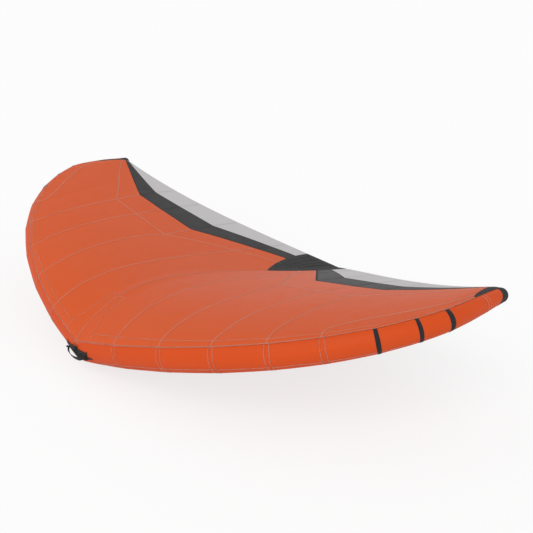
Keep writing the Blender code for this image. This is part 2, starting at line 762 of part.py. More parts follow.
link_hole = link_rod("link_hole_cutter", LINK_RADIUS + LINK_FIT, 1, CUTTERS)
for target in (nose_casing, le_bladder, strut_bladder):
    cut(target, link_hole)
air_link = link_rod("air_link_tube", LINK_RADIUS, 0, PARTS)
finished(cut(air_link, link_rod("link_bore_cutter", LINK_RADIUS - LINK_WALL, 1, CUTTERS)), CLEAR_FILM)

# Centre web, a flat sheet on the centre plane, extruded from its outline


def web_top():
    """The canopy's centre line from above the tube back to the web's end, lowered to its underside."""
    points = [canopy_point(0.0, row) for row in FRONT_ROWS]
    points[0] = points[0].lerp(points[1], WEB_START_SHARE)
    kept = [p for p in points if p.y < WEB_END_Y]
    after = points[len(kept)]
    kept.append(kept[-1].lerp(after, (WEB_END_Y - kept[-1].y) / (after.y - kept[-1].y)))
    lowered = []
    for i, point in enumerate(kept):
        line = kept[max(i, 1)] - kept[max(i, 1) - 1]
        drop = (CANOPY_FABRIC + WEB_GAP) * line.length / line.y
        lowered.append((point.y, point.z - drop))
    return lowered


def web_bottom():
    """Back along the strut's top and up over the tube."""
    ys = [y for y in reversed(STRUT_YS) if WEB_JOIN_Y < y < WEB_END_Y - PIECE_GAP]
    points = [(y, strut_bottom(y) + 2 * strut_radius(y) + WEB_GAP) for y in [WEB_END_Y] + ys]
    for degrees in WEB_TUBE_DEGREES:
        point = on_tube(0.0, math.radians(degrees), WEB_GAP)
        points.append((point.y, point.z))
    return points


outline = web_top() + web_bottom()
flat = bpy.data.curves.new("web_centre", "CURVE")
flat.dimensions = "2D"
flat.fill_mode = "BOTH"
flat.extrude = WEB_THICKNESS / 2
line = flat.splines.new("POLY")
line.points.add(len(outline) - 1)
for point, (y, z) in zip(line.points, outline):
    point.co = (y, z, 0.0, 1.0)
line.use_cyclic_u = True
web = bpy.data.objects.new("web_centre", flat)
web.matrix_world = Matrix(((0, 0, 1, 0), (1, 0, 0, 0), (0, 1, 0, 0), (0, 0, 0, 1)))
PARTS.objects.link(web)
finished(web, ORANGE_WEB)

# Inflation valve: welded flange, body with its mouth, and a cap whose plug pulls out of it

middle, along, up, aft = frame(VALVE_SHARE)
valve_turn = math.radians(VALVE_ANGLE)
valve_out = up * math.cos(valve_turn) + aft * math.sin(valve_turn)
valve_base = middle + valve_out * (tube_radius(VALVE_SHARE) * math.cos(math.pi / TUBE_SIDES))
valve_axes = Matrix((along, valve_out.cross(along), valve_out)).transposed().to_4x4()
valve_frame = Matrix.Translation(valve_base) @ valve_axes


def turned(name, profile, place, group):
    """A closed profile of (radius, height), down its outer side, spun about the local Z axis."""
    obj = mesh_object(name, [], [], group)
    shape = bmesh.new()
    corners = [shape.verts.new((r, 0.0, h)) for r, h in profile]
    for a, b in zip(corners, corners[1:] + corners[:1]):
        shape.edges.new((a, b))
    shape.to_mesh(obj.data)
    shape.free()
    spin = obj.modifiers.new("spin", "SCREW")
    spin.steps = VALVE_SEGMENTS
    spin.render_steps = VALVE_SEGMENTS
    spin.use_merge_vertices = True
    spin.merge_threshold = VALVE_MERGE
    obj.matrix_world = place
    return obj


flange_top = VALVE_SEAT + VALVE_FLANGE
valve_body = turned(
    "valve_body",
    [
        (VALVE_BORE, flange_top + VALVE_HEIGHT),
        (VALVE_BODY_RADIUS, flange_top + VALVE_HEIGHT),
        (VALVE_BODY_RADIUS, flange_top),
        (VALVE_FLANGE_RADIUS, flange_top),
        (VALVE_FLANGE_RADIUS, VALVE_SEAT),
        (VALVE_PORT_RADIUS - VALVE_FIT, VALVE_SEAT),
        (VALVE_PORT_RADIUS - VALVE_FIT, -VALVE_DEPTH),
        (VALVE_BORE, -VALVE_DEPTH),
    ],
    valve_frame,
    PARTS,
)
finished(valve_body, VALVE_GREY)
port = turned(
    "valve_port_cutter",
    [(0.0, OVERRUN), (VALVE_PORT_RADIUS, OVERRUN), (VALVE_PORT_RADIUS, -OVERRUN), (0.0, -OVERRUN)],
    valve_frame,
    CUTTERS,
)
for target in (nose_casing, le_bladder):
    cut(target, port)
cap_low = flange_top + VALVE_HEIGHT + PIECE_GAP
cap_top = cap_low + VALVE_CAP_HEIGHT
valve_cap = turned(
    "valve_cap",
    [
        (0.0, cap_top - VALVE_CAP_RIM / 2),
        (VALVE_CAP_RADIUS - VALVE_CAP_RIM, cap_top - VALVE_CAP_RIM / 2),
        (VALVE_CAP_RADIUS - VALVE_CAP_RIM, cap_top),
        (VALVE_CAP_RADIUS - VALVE_CAP_RIM / 2, cap_top),
        (VALVE_CAP_RADIUS, cap_top - VALVE_CAP_RIM / 2),
        (VALVE_CAP_RADIUS, cap_low),
        (VALVE_BORE - VALVE_FIT, cap_low),
        (VALVE_BORE - VALVE_FIT, cap_low - VALVE_PLUG),
        (0.0, cap_low - VALVE_PLUG),
    ],
    valve_frame,
    PARTS,
)
finished(valve_cap, VALVE_GREY)

# Soft handles: a sewn base with keepers under the strut, and a strap with a padded grip that swings


def swept(name, spline_points, group):
    """A round bar through (x, y, z, radius) points, as a bevelled curve with closed ends."""
    curve = bpy.data.curves.new(name, "CURVE")
    curve.dimensions = "3D"
    curve.bevel_depth = 1.0
    curve.bevel_resolution = 2
    curve.use_fill_caps = True
    curve.twist_mode = "Z_UP"
    line = curve.splines.new("POLY")
    line.points.add(len(spline_points) - 1)
    for point, (x, y, z, radius) in zip(line.points, spline_points):
        point.co = (x, y, z, 1.0)
        point.radius = radius
    obj = bpy.data.objects.new(name, curve)
    group.objects.link(obj)
    return obj


def on_line(low, high, y):
    """The point at this y of the straight line between two points."""
    return low.lerp(high, (y - low.y) / (high.y - low.y))


def handle_grip(name, hinge_low, hinge_high, grip_low, grip_high):
    """The strap and its padded grip, which sags below the hinge line and swells in the middle."""
    path = [(*hinge_low, STRAP_RADIUS)]
    for part in evenly(0.0, 1.0, GRIP_STEPS):
        swell = math.sin(math.pi * part)
        point = on_line(hinge_low, hinge_high, grip_low + (grip_high - grip_low) * part)
        radius = STRAP_RADIUS + (GRIP_RADIUS - STRAP_RADIUS) * swell**GRIP_SWELL_POWER
        path.append((point.x, point.y, point.z - GRIP_SAG * swell**GRIP_SAG_POWER, radius))
    path.append((*hinge_high, STRAP_RADIUS))
    grip = swept(name, path, PARTS)
    return finished(set_pivot(grip, (hinge_low + hinge_high) / 2), BLACK_WEBBING)


def handle_base(name, hinge_low, hinge_high):
    """The sewn strip under the strut, with three keepers on the hinge line and their common bore."""
    half = math.radians(BASE_HALF_ANGLE)
    ys = evenly(hinge_low.y, hinge_high.y, BASE_STEPS)
    rows = [[on_strut(y, half * k, BASE_LIFT + BASE_FABRIC) for k in (-1, 0, 1)] for y in ys]
    base = solidify(skin(name, rows, flip=True), BASE_FABRIC)
    end_keeper = hinge_high.y - KEEPER_END_CLEAR - KEEPER_LENGTH
    start_keeper = hinge_low.y + KEEPER_END_CLEAR
    for place, y in enumerate((end_keeper, start_keeper, start_keeper + KEEPER_PAIR_PITCH), start=1):
        start, end = [on_line(hinge_low, hinge_high, at) for at in (y, y + KEEPER_LENGTH)]
        outer = keeper_bore + KEEPER_WALL
        joined(base, rod_between(f"{name}_keeper_{place}", outer, start, end, CUTTERS, KEEPER_SIDES))
    over = (hinge_high - hinge_low).normalized() * OVERRUN
    start, end = hinge_low - over, hinge_high + over
    cut(base, rod_between(f"{name}_bore", keeper_bore, start, end, CUTTERS, KEEPER_SIDES))
    return finished(base, ORANGE_TUBE)


keeper_bore = STRAP_RADIUS + KEEPER_FIT
axis_drop = BASE_LIFT + BASE_FABRIC + keeper_bore + KEEPER_WALL - KEEPER_SINK
for number, name in enumerate(("front", "rear")):
    strap_ys = STRAP_START_YS[number], STRAP_END_YS[number]
    hinge_low, hinge_high = [Vector((0.0, y, strut_bottom(y) - axis_drop)) for y in strap_ys]
    handle_grip(f"handle_{name}_grip", hinge_low, hinge_high, GRIP_START_YS[number], GRIP_END_YS[number])
    handle_base(f"handle_{name}_base", hinge_low, hinge_high)

# Nose: padded patch on the tube, pull strap in front of it, and the leash tab above


def pad_low_angle(share):
    if share <= PAD_CORNER_SHARE:
        return PAD_LOW_DEGREES
    part = (share - PAD_CORNER_SHARE) / (PAD_HALF_SHARE - PAD_CORNER_SHARE)
    return PAD_LOW_DEGREES + (PAD_CORNER_DEGREES - PAD_LOW_DEGREES) * part


rows = []
pad_shares = (0.0, PAD_CORNER_SHARE / 2, PAD_CORNER_SHARE, PAD_HALF_SHARE)
for share, side in [(s, -1) for s in reversed(pad_shares[1:])] + [(s, 1) for s in pad_shares]:
    low = pad_low_angle(share)
    row = []
    for j in range(PAD_STEPS + 1):
        angle = math.radians(PAD_TOP_DEGREES + (low - PAD_TOP_DEGREES) * j / PAD_STEPS)
        row.append(mirrored(on_tube(share, angle, PAD_LIFT + PAD_THICKNESS), side))
    rows.append(row)
nose_pad = finished(solidify(skin("nose_pad", rows), PAD_THICKNESS), BLACK_WEBBING)


def strap_section(x, y, z, half_width, half_thickness):
    """One section of the strap, an ellipse that faces the way the strap bows."""
    tilt = math.radians(NOSE_STRAP_TILT)
    width_way = Vector((0.0, -math.sin(tilt), -math.cos(tilt)))
    thick_way = Vector((0.0, -math.cos(tilt), math.sin(tilt)))
    section = []
    for k in range(NOSE_STRAP_SIDES):
        turn = 2 * math.pi * k / NOSE_STRAP_SIDES
        across = width_way * (half_width * math.cos(turn)) + thick_way * (half_thickness * math.sin(turn))
        section.append(Vector((x, y, z)) + across)
    return section


def strap_end(x):
    return strap_section(x, NOSE_HINGE_Y, NOSE_HINGE_Z, STRAP_RADIUS, STRAP_RADIUS)


nose_strap_rows = [strap_end(-NOSE_STRAP_HALF), strap_end(-NOSE_STRAP_BEND_X)]
for part in evenly(-1.0, 1.0, STRAP_STEPS)[1:-1]:
    bow = math.cos(part * math.pi / 2)
    half_width = STRAP_RADIUS + (NOSE_STRAP_WIDTH / 2 - STRAP_RADIUS) * bow
    half_thickness = STRAP_RADIUS + (NOSE_STRAP_THICKNESS / 2 - STRAP_RADIUS) * bow
    x = NOSE_STRAP_BEND_X * math.sin(part * math.pi / 2)
    y = NOSE_HINGE_Y - NOSE_STRAP_FORWARD * bow
    z = NOSE_HINGE_Z - NOSE_STRAP_DROP * bow
    nose_strap_rows.append(strap_section(x, y, z, half_width, half_thickness))
nose_strap_rows += [strap_end(NOSE_STRAP_BEND_X), strap_end(NOSE_STRAP_HALF)]
nose_handle = skin("nose_handle", nose_strap_rows, closed=True, caps="start and end", flip=True)
finished(set_pivot(nose_handle, Vector((0.0, NOSE_HINGE_Y, NOSE_HINGE_Z))), BLACK_WEBBING)

for number, side in enumerate((-1, 1), start=1):
    start = Vector((NOSE_KEEPER_X * side, NOSE_HINGE_Y, NOSE_HINGE_Z))
    end = start + Vector((NOSE_KEEPER_LENGTH * side, 0.0, 0.0))
    name = f"nose_keeper_{number}"
    joined(nose_pad, rod_between(name, keeper_bore + KEEPER_WALL, start, end, CUTTERS, KEEPER_SIDES))
for number, side in enumerate((-1, 1), start=1):
    start = Vector((NOSE_STRAP_BEND_X * side, NOSE_HINGE_Y, NOSE_HINGE_Z))
    end = Vector(((NOSE_STRAP_HALF + OVERRUN) * side, NOSE_HINGE_Y, NOSE_HINGE_Z))
    cut(nose_pad, rod_between(f"nose_bore_{number}", keeper_bore, start, end, CUTTERS, KEEPER_SIDES))

# Leash loop: a short band of webbing standing off the nose, sewn down at both ends

foot_angle = math.radians(PAD_TOP_DEGREES + (PAD_LOW_DEGREES - PAD_TOP_DEGREES) / PAD_STEPS)
pad_front = [on_tube(share, foot_angle, PAD_LIFT + PAD_THICKNESS) for share in pad_shares[:2]]
foot = pad_front[0].lerp(pad_front[1], LOOP_HALF_WIDTH / pad_front[1].x)
loop_back = foot.y - PIECE_GAP
loop_outline = [
    (-LOOP_HALF_WIDTH, loop_back),
    (-LOOP_FLAT_HALF, loop_back - LOOP_STAND_OFF),
    (LOOP_FLAT_HALF, loop_back - LOOP_STAND_OFF),
    (LOOP_HALF_WIDTH, loop_back),
]
rows = [[Vector((x, y, z)) for z in (LOOP_LOW_Z, LOOP_LOW_Z + LOOP_HEIGHT)] for x, y in loop_outline]
finished(solidify(skin("leash_loop", rows), LOOP_THICKNESS), BLACK_WEBBING)

# One empty carries the wing and its cutters, and puts the origin below the middle of the wing

root = bpy.data.objects.new("wing_root", None)
root.location = -BASE_POINT
PARTS.objects.link(root)
for group in (PARTS, CUTTERS):
    for obj in group.objects:
        if obj is not root:
            obj.parent = root
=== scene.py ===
"""Looks of an inflated hand-held foiling wing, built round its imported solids."""

import bisect
import functools
import math

import bpy
import numpy as np
from mathutils import Matrix, Vector, noise


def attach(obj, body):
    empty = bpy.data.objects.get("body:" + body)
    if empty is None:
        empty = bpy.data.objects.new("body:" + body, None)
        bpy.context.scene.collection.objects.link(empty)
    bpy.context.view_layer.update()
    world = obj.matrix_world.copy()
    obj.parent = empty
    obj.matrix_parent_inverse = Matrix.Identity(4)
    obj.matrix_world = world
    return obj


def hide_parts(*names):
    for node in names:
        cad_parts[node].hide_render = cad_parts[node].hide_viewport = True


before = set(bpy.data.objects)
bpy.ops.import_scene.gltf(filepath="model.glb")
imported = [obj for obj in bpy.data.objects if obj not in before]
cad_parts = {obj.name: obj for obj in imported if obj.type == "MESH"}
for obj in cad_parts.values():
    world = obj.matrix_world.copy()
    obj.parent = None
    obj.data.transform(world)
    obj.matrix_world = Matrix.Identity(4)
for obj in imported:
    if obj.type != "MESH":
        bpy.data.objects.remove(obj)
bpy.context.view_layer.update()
bpy.ops.object.select_all(action="DESELECT")

# Leading edge casing
# The wing stands on one curved tube of coated polyester sailcloth, cut as short tapered lengths and sewn end
# to end in felled seams. Air pressure rounds each length, and the joins pinch and pucker it.

# Where the world's origin lies, measured from the middle of the tube at the nose
LOW_POINT = np.array((0.0, 0.9157, -0.14855))
INNER_LINE = (
    Vector((0.0, 0.0, 0.0)),
    Vector((0.594, 0.015, 0.128)),
    Vector((1.452, 0.243, 0.352)),
    Vector((1.664, 0.871, 0.466)),
)
OUTER_LINE = (
    INNER_LINE[-1],
    Vector((1.708, 1.002, 0.490)),
    Vector((1.668, 1.160, 0.478)),
    Vector((1.671, 1.300, 0.480)),
)
LINE_STEPS = 160
JOIN_SHARES = (0.0, 0.132, 0.257, 0.380, 0.494, 0.596, 0.691, 0.768, 0.829, 0.933, 1.0)
LENGTHS = (*(JOIN_SHARES[i:i + 2] for i in range(1, 5)), JOIN_SHARES[5:10])
STRAIGHTNESS = 0.55
MITRE_REACH, MITRE_SHARE = 0.0016, 0.044
NOSE_RADIUS, TAPER, TIP_TAPER = 0.1105, 0.0597, 0.0143
PINCH, PINCH_RUN = 0.0012, 0.020
PUCKER, PUCKER_RUN = 0.0009, 0.032
PUCKERS_ROUND, PUCKER_PHASE, PUCKER_STRAY, STRAY_SIZE = 17, 40, 2.2, 2.0
SLACK, SLACK_SIZE, SLACK_ROUND = 0.0007, 0.14, 1.3
TUBE_CLOTH = 0.0009
UPWARDS = (0.0, 0.0, 1.0)
CROWN = "crown"
TUBE_SIDES, ROWS_A_LENGTH = 112, 26
CROWDING = 0.65
LEAST_OF_CUT = 0.5
CLOSE_ENOUGH = 0.00002
MIRROR = np.array((-1.0, 1.0, 1.0))


def bent(a, b, c, d, t):
    u = 1 - t
    return a * u**3 + b * (3 * t * u * u) + c * (3 * t * t * u) + d * t**3


spine_points = [INNER_LINE[0]]
for line in (INNER_LINE, OUTER_LINE):
    spine_points += [bent(*line, i / LINE_STEPS) for i in range(1, LINE_STEPS + 1)]
spine_runs = [0.0]
for start, end in zip(spine_points, spine_points[1:]):
    spine_runs.append(spine_runs[-1] + (end - start).length)
HALF_LENGTH = spine_runs[-1]


def along_spine(share):
    run = min(max(share, 0.0), 1.0) * HALF_LENGTH
    i = min(max(bisect.bisect_right(spine_runs, run), 1), len(spine_runs) - 1)
    part = (run - spine_runs[i - 1]) / (spine_runs[i] - spine_runs[i - 1])
    return spine_points[i - 1].lerp(spine_points[i], part)


def tube_middle(share):
    """The centre line, drawn part of the way to the straight run between two joins."""
    i = min(max(bisect.bisect_right(JOIN_SHARES, share), 1), len(JOIN_SHARES) - 1)
    low, high = JOIN_SHARES[i - 1], JOIN_SHARES[i]
    part = min(max((share - low) / (high - low), 0.0), 1.0)
    straight = along_spine(low).lerp(along_spine(high), part)
    return along_spine(share).lerp(straight, STRAIGHTNESS)


@functools.lru_cache(maxsize=None)
def tube_frame(share):
    """Centre, direction to the tip, up and aft directions of the tube."""
    along = (tube_middle(share + MITRE_REACH) - tube_middle(share - MITRE_REACH)).normalized()
    up = (Vector(UPWARDS) - along * along.z).normalized()
    return tube_middle(share), along, up, up.cross(along)


def tube_radius(share):
    return NOSE_RADIUS - TAPER * share - TIP_TAPER * share**6


def give(angle, along, run, puckers, phase, stray):
    """How far cloth stands off its tube: a little slack, and pinched and puckered where a join is near."""
    place = Vector((math.cos(angle), math.sin(angle), along / SLACK_SIZE))
    waves = math.sin(angle * puckers + phase + stray * noise.noise(place * STRAY_SIZE))
    gather = PUCKER * math.exp(-run / PUCKER_RUN) * waves
    return SLACK * noise.noise(place * SLACK_ROUND) + gather - PINCH * math.exp(-run / PINCH_RUN)


def stand_off(share, angle):
    join = min(JOIN_SHARES, key=lambda s: abs(s - share))
    run = abs(join - share) * HALF_LENGTH
    return give(angle, share * HALF_LENGTH, run, PUCKERS_ROUND, join * PUCKER_PHASE, PUCKER_STRAY)


def out_of_tube(share, angle):
    middle, along, up, aft = tube_frame(share)
    return up * math.cos(angle) + aft * math.sin(angle)


def on_tube(share, angle, lift=0.0):
    """A point of the tube's face. Near the nose, points slide along so that the first ring is on X = 0."""
    middle, along = tube_frame(share)[:2]
    size = tube_radius(share) + stand_off(share, angle) + lift
    point = middle + out_of_tube(share, angle) * size
    if share < MITRE_SHARE:
        lean = out_of_tube(0.0, angle).x * size / tube_frame(0.0)[1].x
        point = point - along * (lean * (1 - share / MITRE_SHARE))
    return point


def even(low, high, steps):
    return [low + (high - low) * i / steps for i in range(steps + 1)]


def full_turn(steps, start=0.0):
    return [start + 2 * math.pi * i / steps for i in range(steps + 1)]


def close_to_ends(low, high, steps):
    """Shares from low to high that lie closer together near both ends."""
    turns = [0.5 - 0.5 * math.cos(math.pi * i / steps) for i in range(steps + 1)]
    return [low + (high - low) * ((1 - CROWDING) * i / steps + CROWDING * t) for i, t in enumerate(turns)]


def close_to_all(ends, steps_between):
    shares = [ends[0]]
    for low, high in zip(ends, ends[1:]):
        shares += close_to_ends(low, high, steps_between(low, high))[1:]
    return shares


def as_array(rows):
    return rows if isinstance(rows, np.ndarray) else np.array([[tuple(p) for p in row] for row in rows])


def both_halves(half):
    """A half that starts on the middle plane, with its mirror image before it."""
    return np.concatenate([half[:0:-1] * MIRROR, half])


def wanted_way(rows, facing):
    """Where faces should look: out of the middle of their row, to where it stands up, or one way for all."""
    middles = (rows[:-1, :-1] + rows[1:, 1:]) / 2
    if facing is None:
        return middles - rows.mean(axis=1)[:-1, None]
    if facing == CROWN:
        stands = rows[:-1, 1:-1].mean(axis=1) - (rows[:-1, 0] + rows[:-1, -1]) / 2
        return middles * 0 + stands[:, None]
    return middles * 0 + np.array(facing)


def laid(name, rows, facing=None, is_left=False):
    """Cloth as it is laid out: a grid whose corners go where these rows say, with its weave along them.

    Where facing gives no way for its faces to look, they look out of each row, and its seam is closed.
    """
    rows = as_array(rows) * (MIRROR if is_left else 1.0)
    along, across = rows.shape[:2]
    bpy.ops.object.select_all(action="DESELECT")
    bpy.ops.mesh.primitive_grid_add(x_subdivisions=across - 1, y_subdivisions=along - 1, size=1)
    piece = bpy.context.object
    piece.name = piece.data.name = name
    mesh = piece.data
    mesh.vertices.foreach_set("co", (rows - LOW_POINT).astype(np.float32).ravel())
    run_across, run_along = np.zeros((2, along, across))
    run_across[:, 1:] = np.cumsum(np.linalg.norm(np.diff(rows, axis=1), axis=2), axis=1)
    run_along[1:] = np.cumsum(np.linalg.norm(np.diff(rows, axis=0), axis=2), axis=0)
    corners = np.empty(len(mesh.loops), np.int32)
    mesh.loops.foreach_get("vertex_index", corners)
    weave = np.stack([run_across.ravel(), run_along.ravel()], axis=1)[corners]
    mesh.uv_layers.active.data.foreach_set("uv", weave.astype(np.float32).ravel())
    mesh.update()
    normals = np.empty(len(mesh.polygons) * 3, np.float32)
    mesh.polygons.foreach_get("normal", normals)
    bpy.ops.object.mode_set(mode="EDIT")
    bpy.ops.mesh.select_all(action="SELECT")
    if (normals * wanted_way(rows, facing).ravel()).sum() < 0:
        bpy.ops.mesh.flip_normals()
    if facing is None:
        bpy.ops.mesh.remove_doubles(threshold=CLOSE_ENOUGH)
    bpy.ops.object.mode_set(mode="OBJECT")
    area = float(sum(face.area for face in mesh.polygons))
    width = float(run_across.max())
    piece["cut"] = (width, min(float(run_along.max()), area / width / LEAST_OF_CUT))
    piece["cut_area"] = area
    return piece


def smoothed(piece, degrees=50):
    bpy.ops.object.shade_smooth_by_angle(angle=math.radians(degrees))
    return piece


def backed(piece, thickness, offset=-1.0):
    """Gives a sheet that was just laid its thickness: inwards, or to both sides where offset is 0."""
    layer = piece.modifiers.new("cloth", "SOLIDIFY")
    layer.thickness = thickness
    layer.offset = offset
    bpy.ops.object.modifier_apply(modifier=layer.name)
    return smoothed(piece)


class Wire:
    """One value among some nodes. Plain arithmetic on it adds Math nodes."""

    def __init__(self, nodes, socket):
        self.nodes = nodes
        self.socket = socket

    def __add__(self, other):
        return self.nodes.maths("ADD", self, other)

    def __sub__(self, other):
        return self.nodes.maths("SUBTRACT", self, other)

    def __rsub__(self, other):
        return self.nodes.maths("SUBTRACT", other, self)

    def __mul__(self, other):
        return self.nodes.maths("MULTIPLY", self, other)

    def __truediv__(self, other):
        return self.nodes.maths("DIVIDE", self, other)

    def __lt__(self, other):
        return self.nodes.maths("LESS_THAN", self, other)

    __radd__ = __add__
    __rmul__ = __mul__


class Nodes:
    """Adds nodes to one tree."""

    def __init__(self, tree):
        self.tree = tree

    def node(self, kind, settings, inputs, output=0):
        made = self.tree.nodes.new(f"ShaderNode{kind}")
        for key, value in settings.items():
            setattr(made, key, value)
        for key, value in inputs.items():
            self.feed(made.inputs[key], value)
        return Wire(self, made.outputs[output])

    def feed(self, socket, value):
        if isinstance(value, Wire):
            self.tree.links.new(value.socket, socket)
        else:
            socket.default_value = value

    def maths(self, operation, *values):
        return self.node("Math", {"operation": operation}, dict(enumerate(values)))


class Finish(Nodes):
    """A material on one Principled shader, whose fixed values are set on the shader itself."""

    def __init__(self, name, fixed):
        self.material = bpy.data.materials.new(name)
        self.material.use_nodes = True
        super().__init__(self.material.node_tree)
        self.shader = self.tree.nodes["Principled BSDF"]
        for socket, value in fixed.items():
            self.shader.inputs[socket].default_value = value

    def cloud(self, where, scale, detail=3.0):
        return self.node("TexNoise", {}, {"Vector": where, "Scale": scale, "Detail": detail}, "Fac")

    def in_space(self):
        return self.node("TexCoord", {}, {}, "Object")

    def on_cloth(self):
        """A place on the cloth, and its metres across and along."""
        flat = self.node("UVMap", {"uv_map": "UVMap"}, {})
        return flat, [self.node("SeparateXYZ", {}, {0: flat}, i) for i in (0, 1)]

    def ridges(self, run, pitch):
        """Round threads side by side, from 0 between them to 1 on top."""
        return self.maths("ABSOLUTE", self.maths("SINE", run * (math.pi / pitch)))

    def lines(self, run, pitch, width):
        """1 on a thin line at every pitch, and 0 between."""
        return self.maths("FRACT", run / pitch) < width / pitch

    def tint(self, factor, low, high):
        return self.node("Mix", {"data_type": "RGBA"}, {0: factor, 6: (*low, 1), 7: (*high, 1)}, 2)

    def relief(self, height, distance):
        bump = self.node("Bump", {}, {"Height": height, "Distance": distance, "Strength": 1.0}, "Normal")
        self.feed(self.shader.inputs["Normal"], bump)

    def end(self, colour, roughness):
        self.feed(self.shader.inputs["Base Color"], colour)
        self.feed(self.shader.inputs["Roughness"], roughness)
        return self.material


def sailcloth(name, shade, worn):
    """Coated plain-weave polyester: fine threads under a hard finish, streaks along the warp, scuffs."""
    finish = Finish(name, {"Specular IOR Level": 0.16, "Sheen Weight": 0.01, "Sheen Roughness": 0.45})
    flat, (across, along) = finish.on_cloth()
    space = finish.in_space()
    streaks = finish.cloud(finish.node("Mapping", {}, {0: flat, "Scale": (60.0, 2.5, 1.0)}), 1.0, 2.0)
    fade = finish.cloud(space, 3.2, 2.0)
    scuff = finish.cloud(space, 26.0, 5.0)
    crumple = finish.cloud(space, 38.0)
    thread = 0.0012
    weave = finish.ridges(across, thread) * finish.ridges(along, thread)
    finish.relief(weave * 0.10 + streaks * 0.12 + crumple * 0.9, 0.0010)
    factor = streaks * 0.35 + fade * 0.45 + weave * 0.10 + scuff * 0.10
    return finish.end(finish.tint(factor, worn, shade), 0.44 + scuff * 0.22)


casing_orange = sailcloth("sailcloth_orange", (0.670, 0.078, 0.010), (0.615, 0.069, 0.008))


def finished_in(piece, material):
    piece.data.materials.clear()
    piece.data.materials.append(material)


def dress(piece, material, body="wing"):
    finished_in(piece, material)
    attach(piece, body)
    return piece


def sides_of(name):
    """The sides that a name with SIDE in it stands for, and whether each is the left one, a mirror image."""
    return (("right", False), ("left", True)) if "SIDE" in name else (("", False),)


def sewn(name, rows, node, cloth, *rests_on, held="stretched", facing=None, offset=-1.0):
    """Cloth in its solid's place, with the size it was cut to kept on the piece."""
    material, slot, thickness = cloth
    for side, is_left in sides_of(name):
        piece = backed(laid(name.replace("SIDE", side), rows, facing, is_left), thickness, offset)
        dress(piece, material)
        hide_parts(node.replace("SIDE", side))
        width, length = piece["cut"]
        min(piece["cut_area"], width * length)


def tube_rows(shares):
    return [[on_tube(s, a) for a in tube_turns] for s in shares]


tube_turns = full_turn(TUBE_SIDES, math.pi)
# A cloth is a finish, a slot and a thickness
casing_cloth = (casing_orange, "orange_tube", TUBE_CLOTH)
nose_half = as_array(tube_rows(close_to_ends(0.0, JOIN_SHARES[1], ROWS_A_LENGTH)))
sewn("le_cloth_nose", both_halves(nose_half), "le_casing_nose", casing_cloth, "le_bladder")
for number, ends in enumerate(LENGTHS, start=1):
    rows = tube_rows(close_to_all(ends, lambda low, high: ROWS_A_LENGTH))
    sewn(f"le_cloth_{number}_SIDE", rows, f"le_casing_{number}_SIDE", casing_cloth, "le_bladder")

# Tip casing and tip cap
# The last length runs into a cap of thick black webbing cloth, which takes the knocks when the tip touches
# the water. Its inner edge is cut on a slant and it closes over the end as a dome.

TIP_SQUARE, TIP_ROWS = 0.972, 18
CAP_EDGE, CAP_SLANT, CAP_OVERLAP = 0.9835, 0.0085, 0.0040
CAP_LIFT, CAP_CLOTH = 0.0010, 0.0016
CAP_DOME, DOME_ROWS, SLANT_ROWS = 0.03096, 14, 4


def between(ends, part):
    return ends[0] + (ends[1] - ends[0]) * part


def cap_edge(angle):
    return CAP_EDGE + CAP_SLANT * math.cos(angle)


def slanted(start_of, end_of, part, lift=0.0):
    """A row of cloth part of the way between two edges, each given as its share at every angle."""
    return [on_tube(between((start_of(a), end_of(a)), part), a, lift) for a in tube_turns]


def dome(steps):
    """How far out and how wide the rows of a rounded end are, in shares of its height and its width."""
    return [(math.sin(t), math.cos(t)) for t in even(0.0, math.pi / 2, steps)[:-1]] + [(1.0, 0.0)]


tip_rows = tube_rows(close_to_ends(JOIN_SHARES[-2], TIP_SQUARE, TIP_ROWS))
slant_parts = even(0.0, 1.0, SLANT_ROWS)
tip_rows += [slanted(lambda a: TIP_SQUARE, cap_edge, part) for part in slant_parts[1:]]
cap_rows = [[on_tube(cap_edge(a) - CAP_OVERLAP, a, CAP_LIFT) for a in tube_turns]]
cap_rows += [slanted(cap_edge, lambda a: 1.0, part, CAP_LIFT) for part in slant_parts[:-1]]
tip_middle, tip_along = tube_frame(1.0)[:2]
for out, wide in dome(DOME_ROWS):
    size = (tube_radius(1.0) + CAP_LIFT) * wide
    middle = tip_middle + tip_along * (CAP_DOME * out)
    cap_rows.append([middle + out_of_tube(1.0, a) * size for a in tube_turns])


def webbing(name, shade, pale, pitch=0.0016, rib=1.0):
    """Woven polyester: coarse threads with painted light and shade, paler on top of each rib and darker
    between the ribs, and a little random dust.
    """
    finish = Finish(name, {"Specular IOR Level": 0.22, "Sheen Weight": 0.03, "Sheen Roughness": 0.6})
    flat, (across, along) = finish.on_cloth()
    threads = finish.ridges(across, pitch) * finish.ridges(along, pitch * rib)
    dust = finish.cloud(finish.in_space(), 55.0, 4.0)
    finish.relief(threads * 0.5 + dust * 0.4, 0.0008)
    # Painted light and shade: the tint follows the threads' relief, paler on each rib's top and darker
    # between ribs; the dust cloud adds real, random paleness.
    return finish.end(finish.tint(threads * 0.45 + dust * 0.40, shade, pale), 0.58 + dust * 0.2)


cap_black = webbing("cap_cloth_black", (0.011, 0.011, 0.012), (0.026, 0.027, 0.028))
cap_cloth = (cap_black, "black_webbing", CAP_CLOTH)
sewn("le_cloth_tip_SIDE", tip_rows, "le_casing_tip_SIDE", casing_cloth, "le_bladder")
sewn("tip_cap_SIDE", cap_rows, "le_tip_cap_SIDE", cap_cloth, "le_cloth_tip_SIDE")

# Stitching of the leading edge
# Each join is a felled seam with two rows of zigzag stitches in pale thread. A lengthwise seam closes the
# low front of the tube, and it turns down in a rounded corner where the strut is let in.

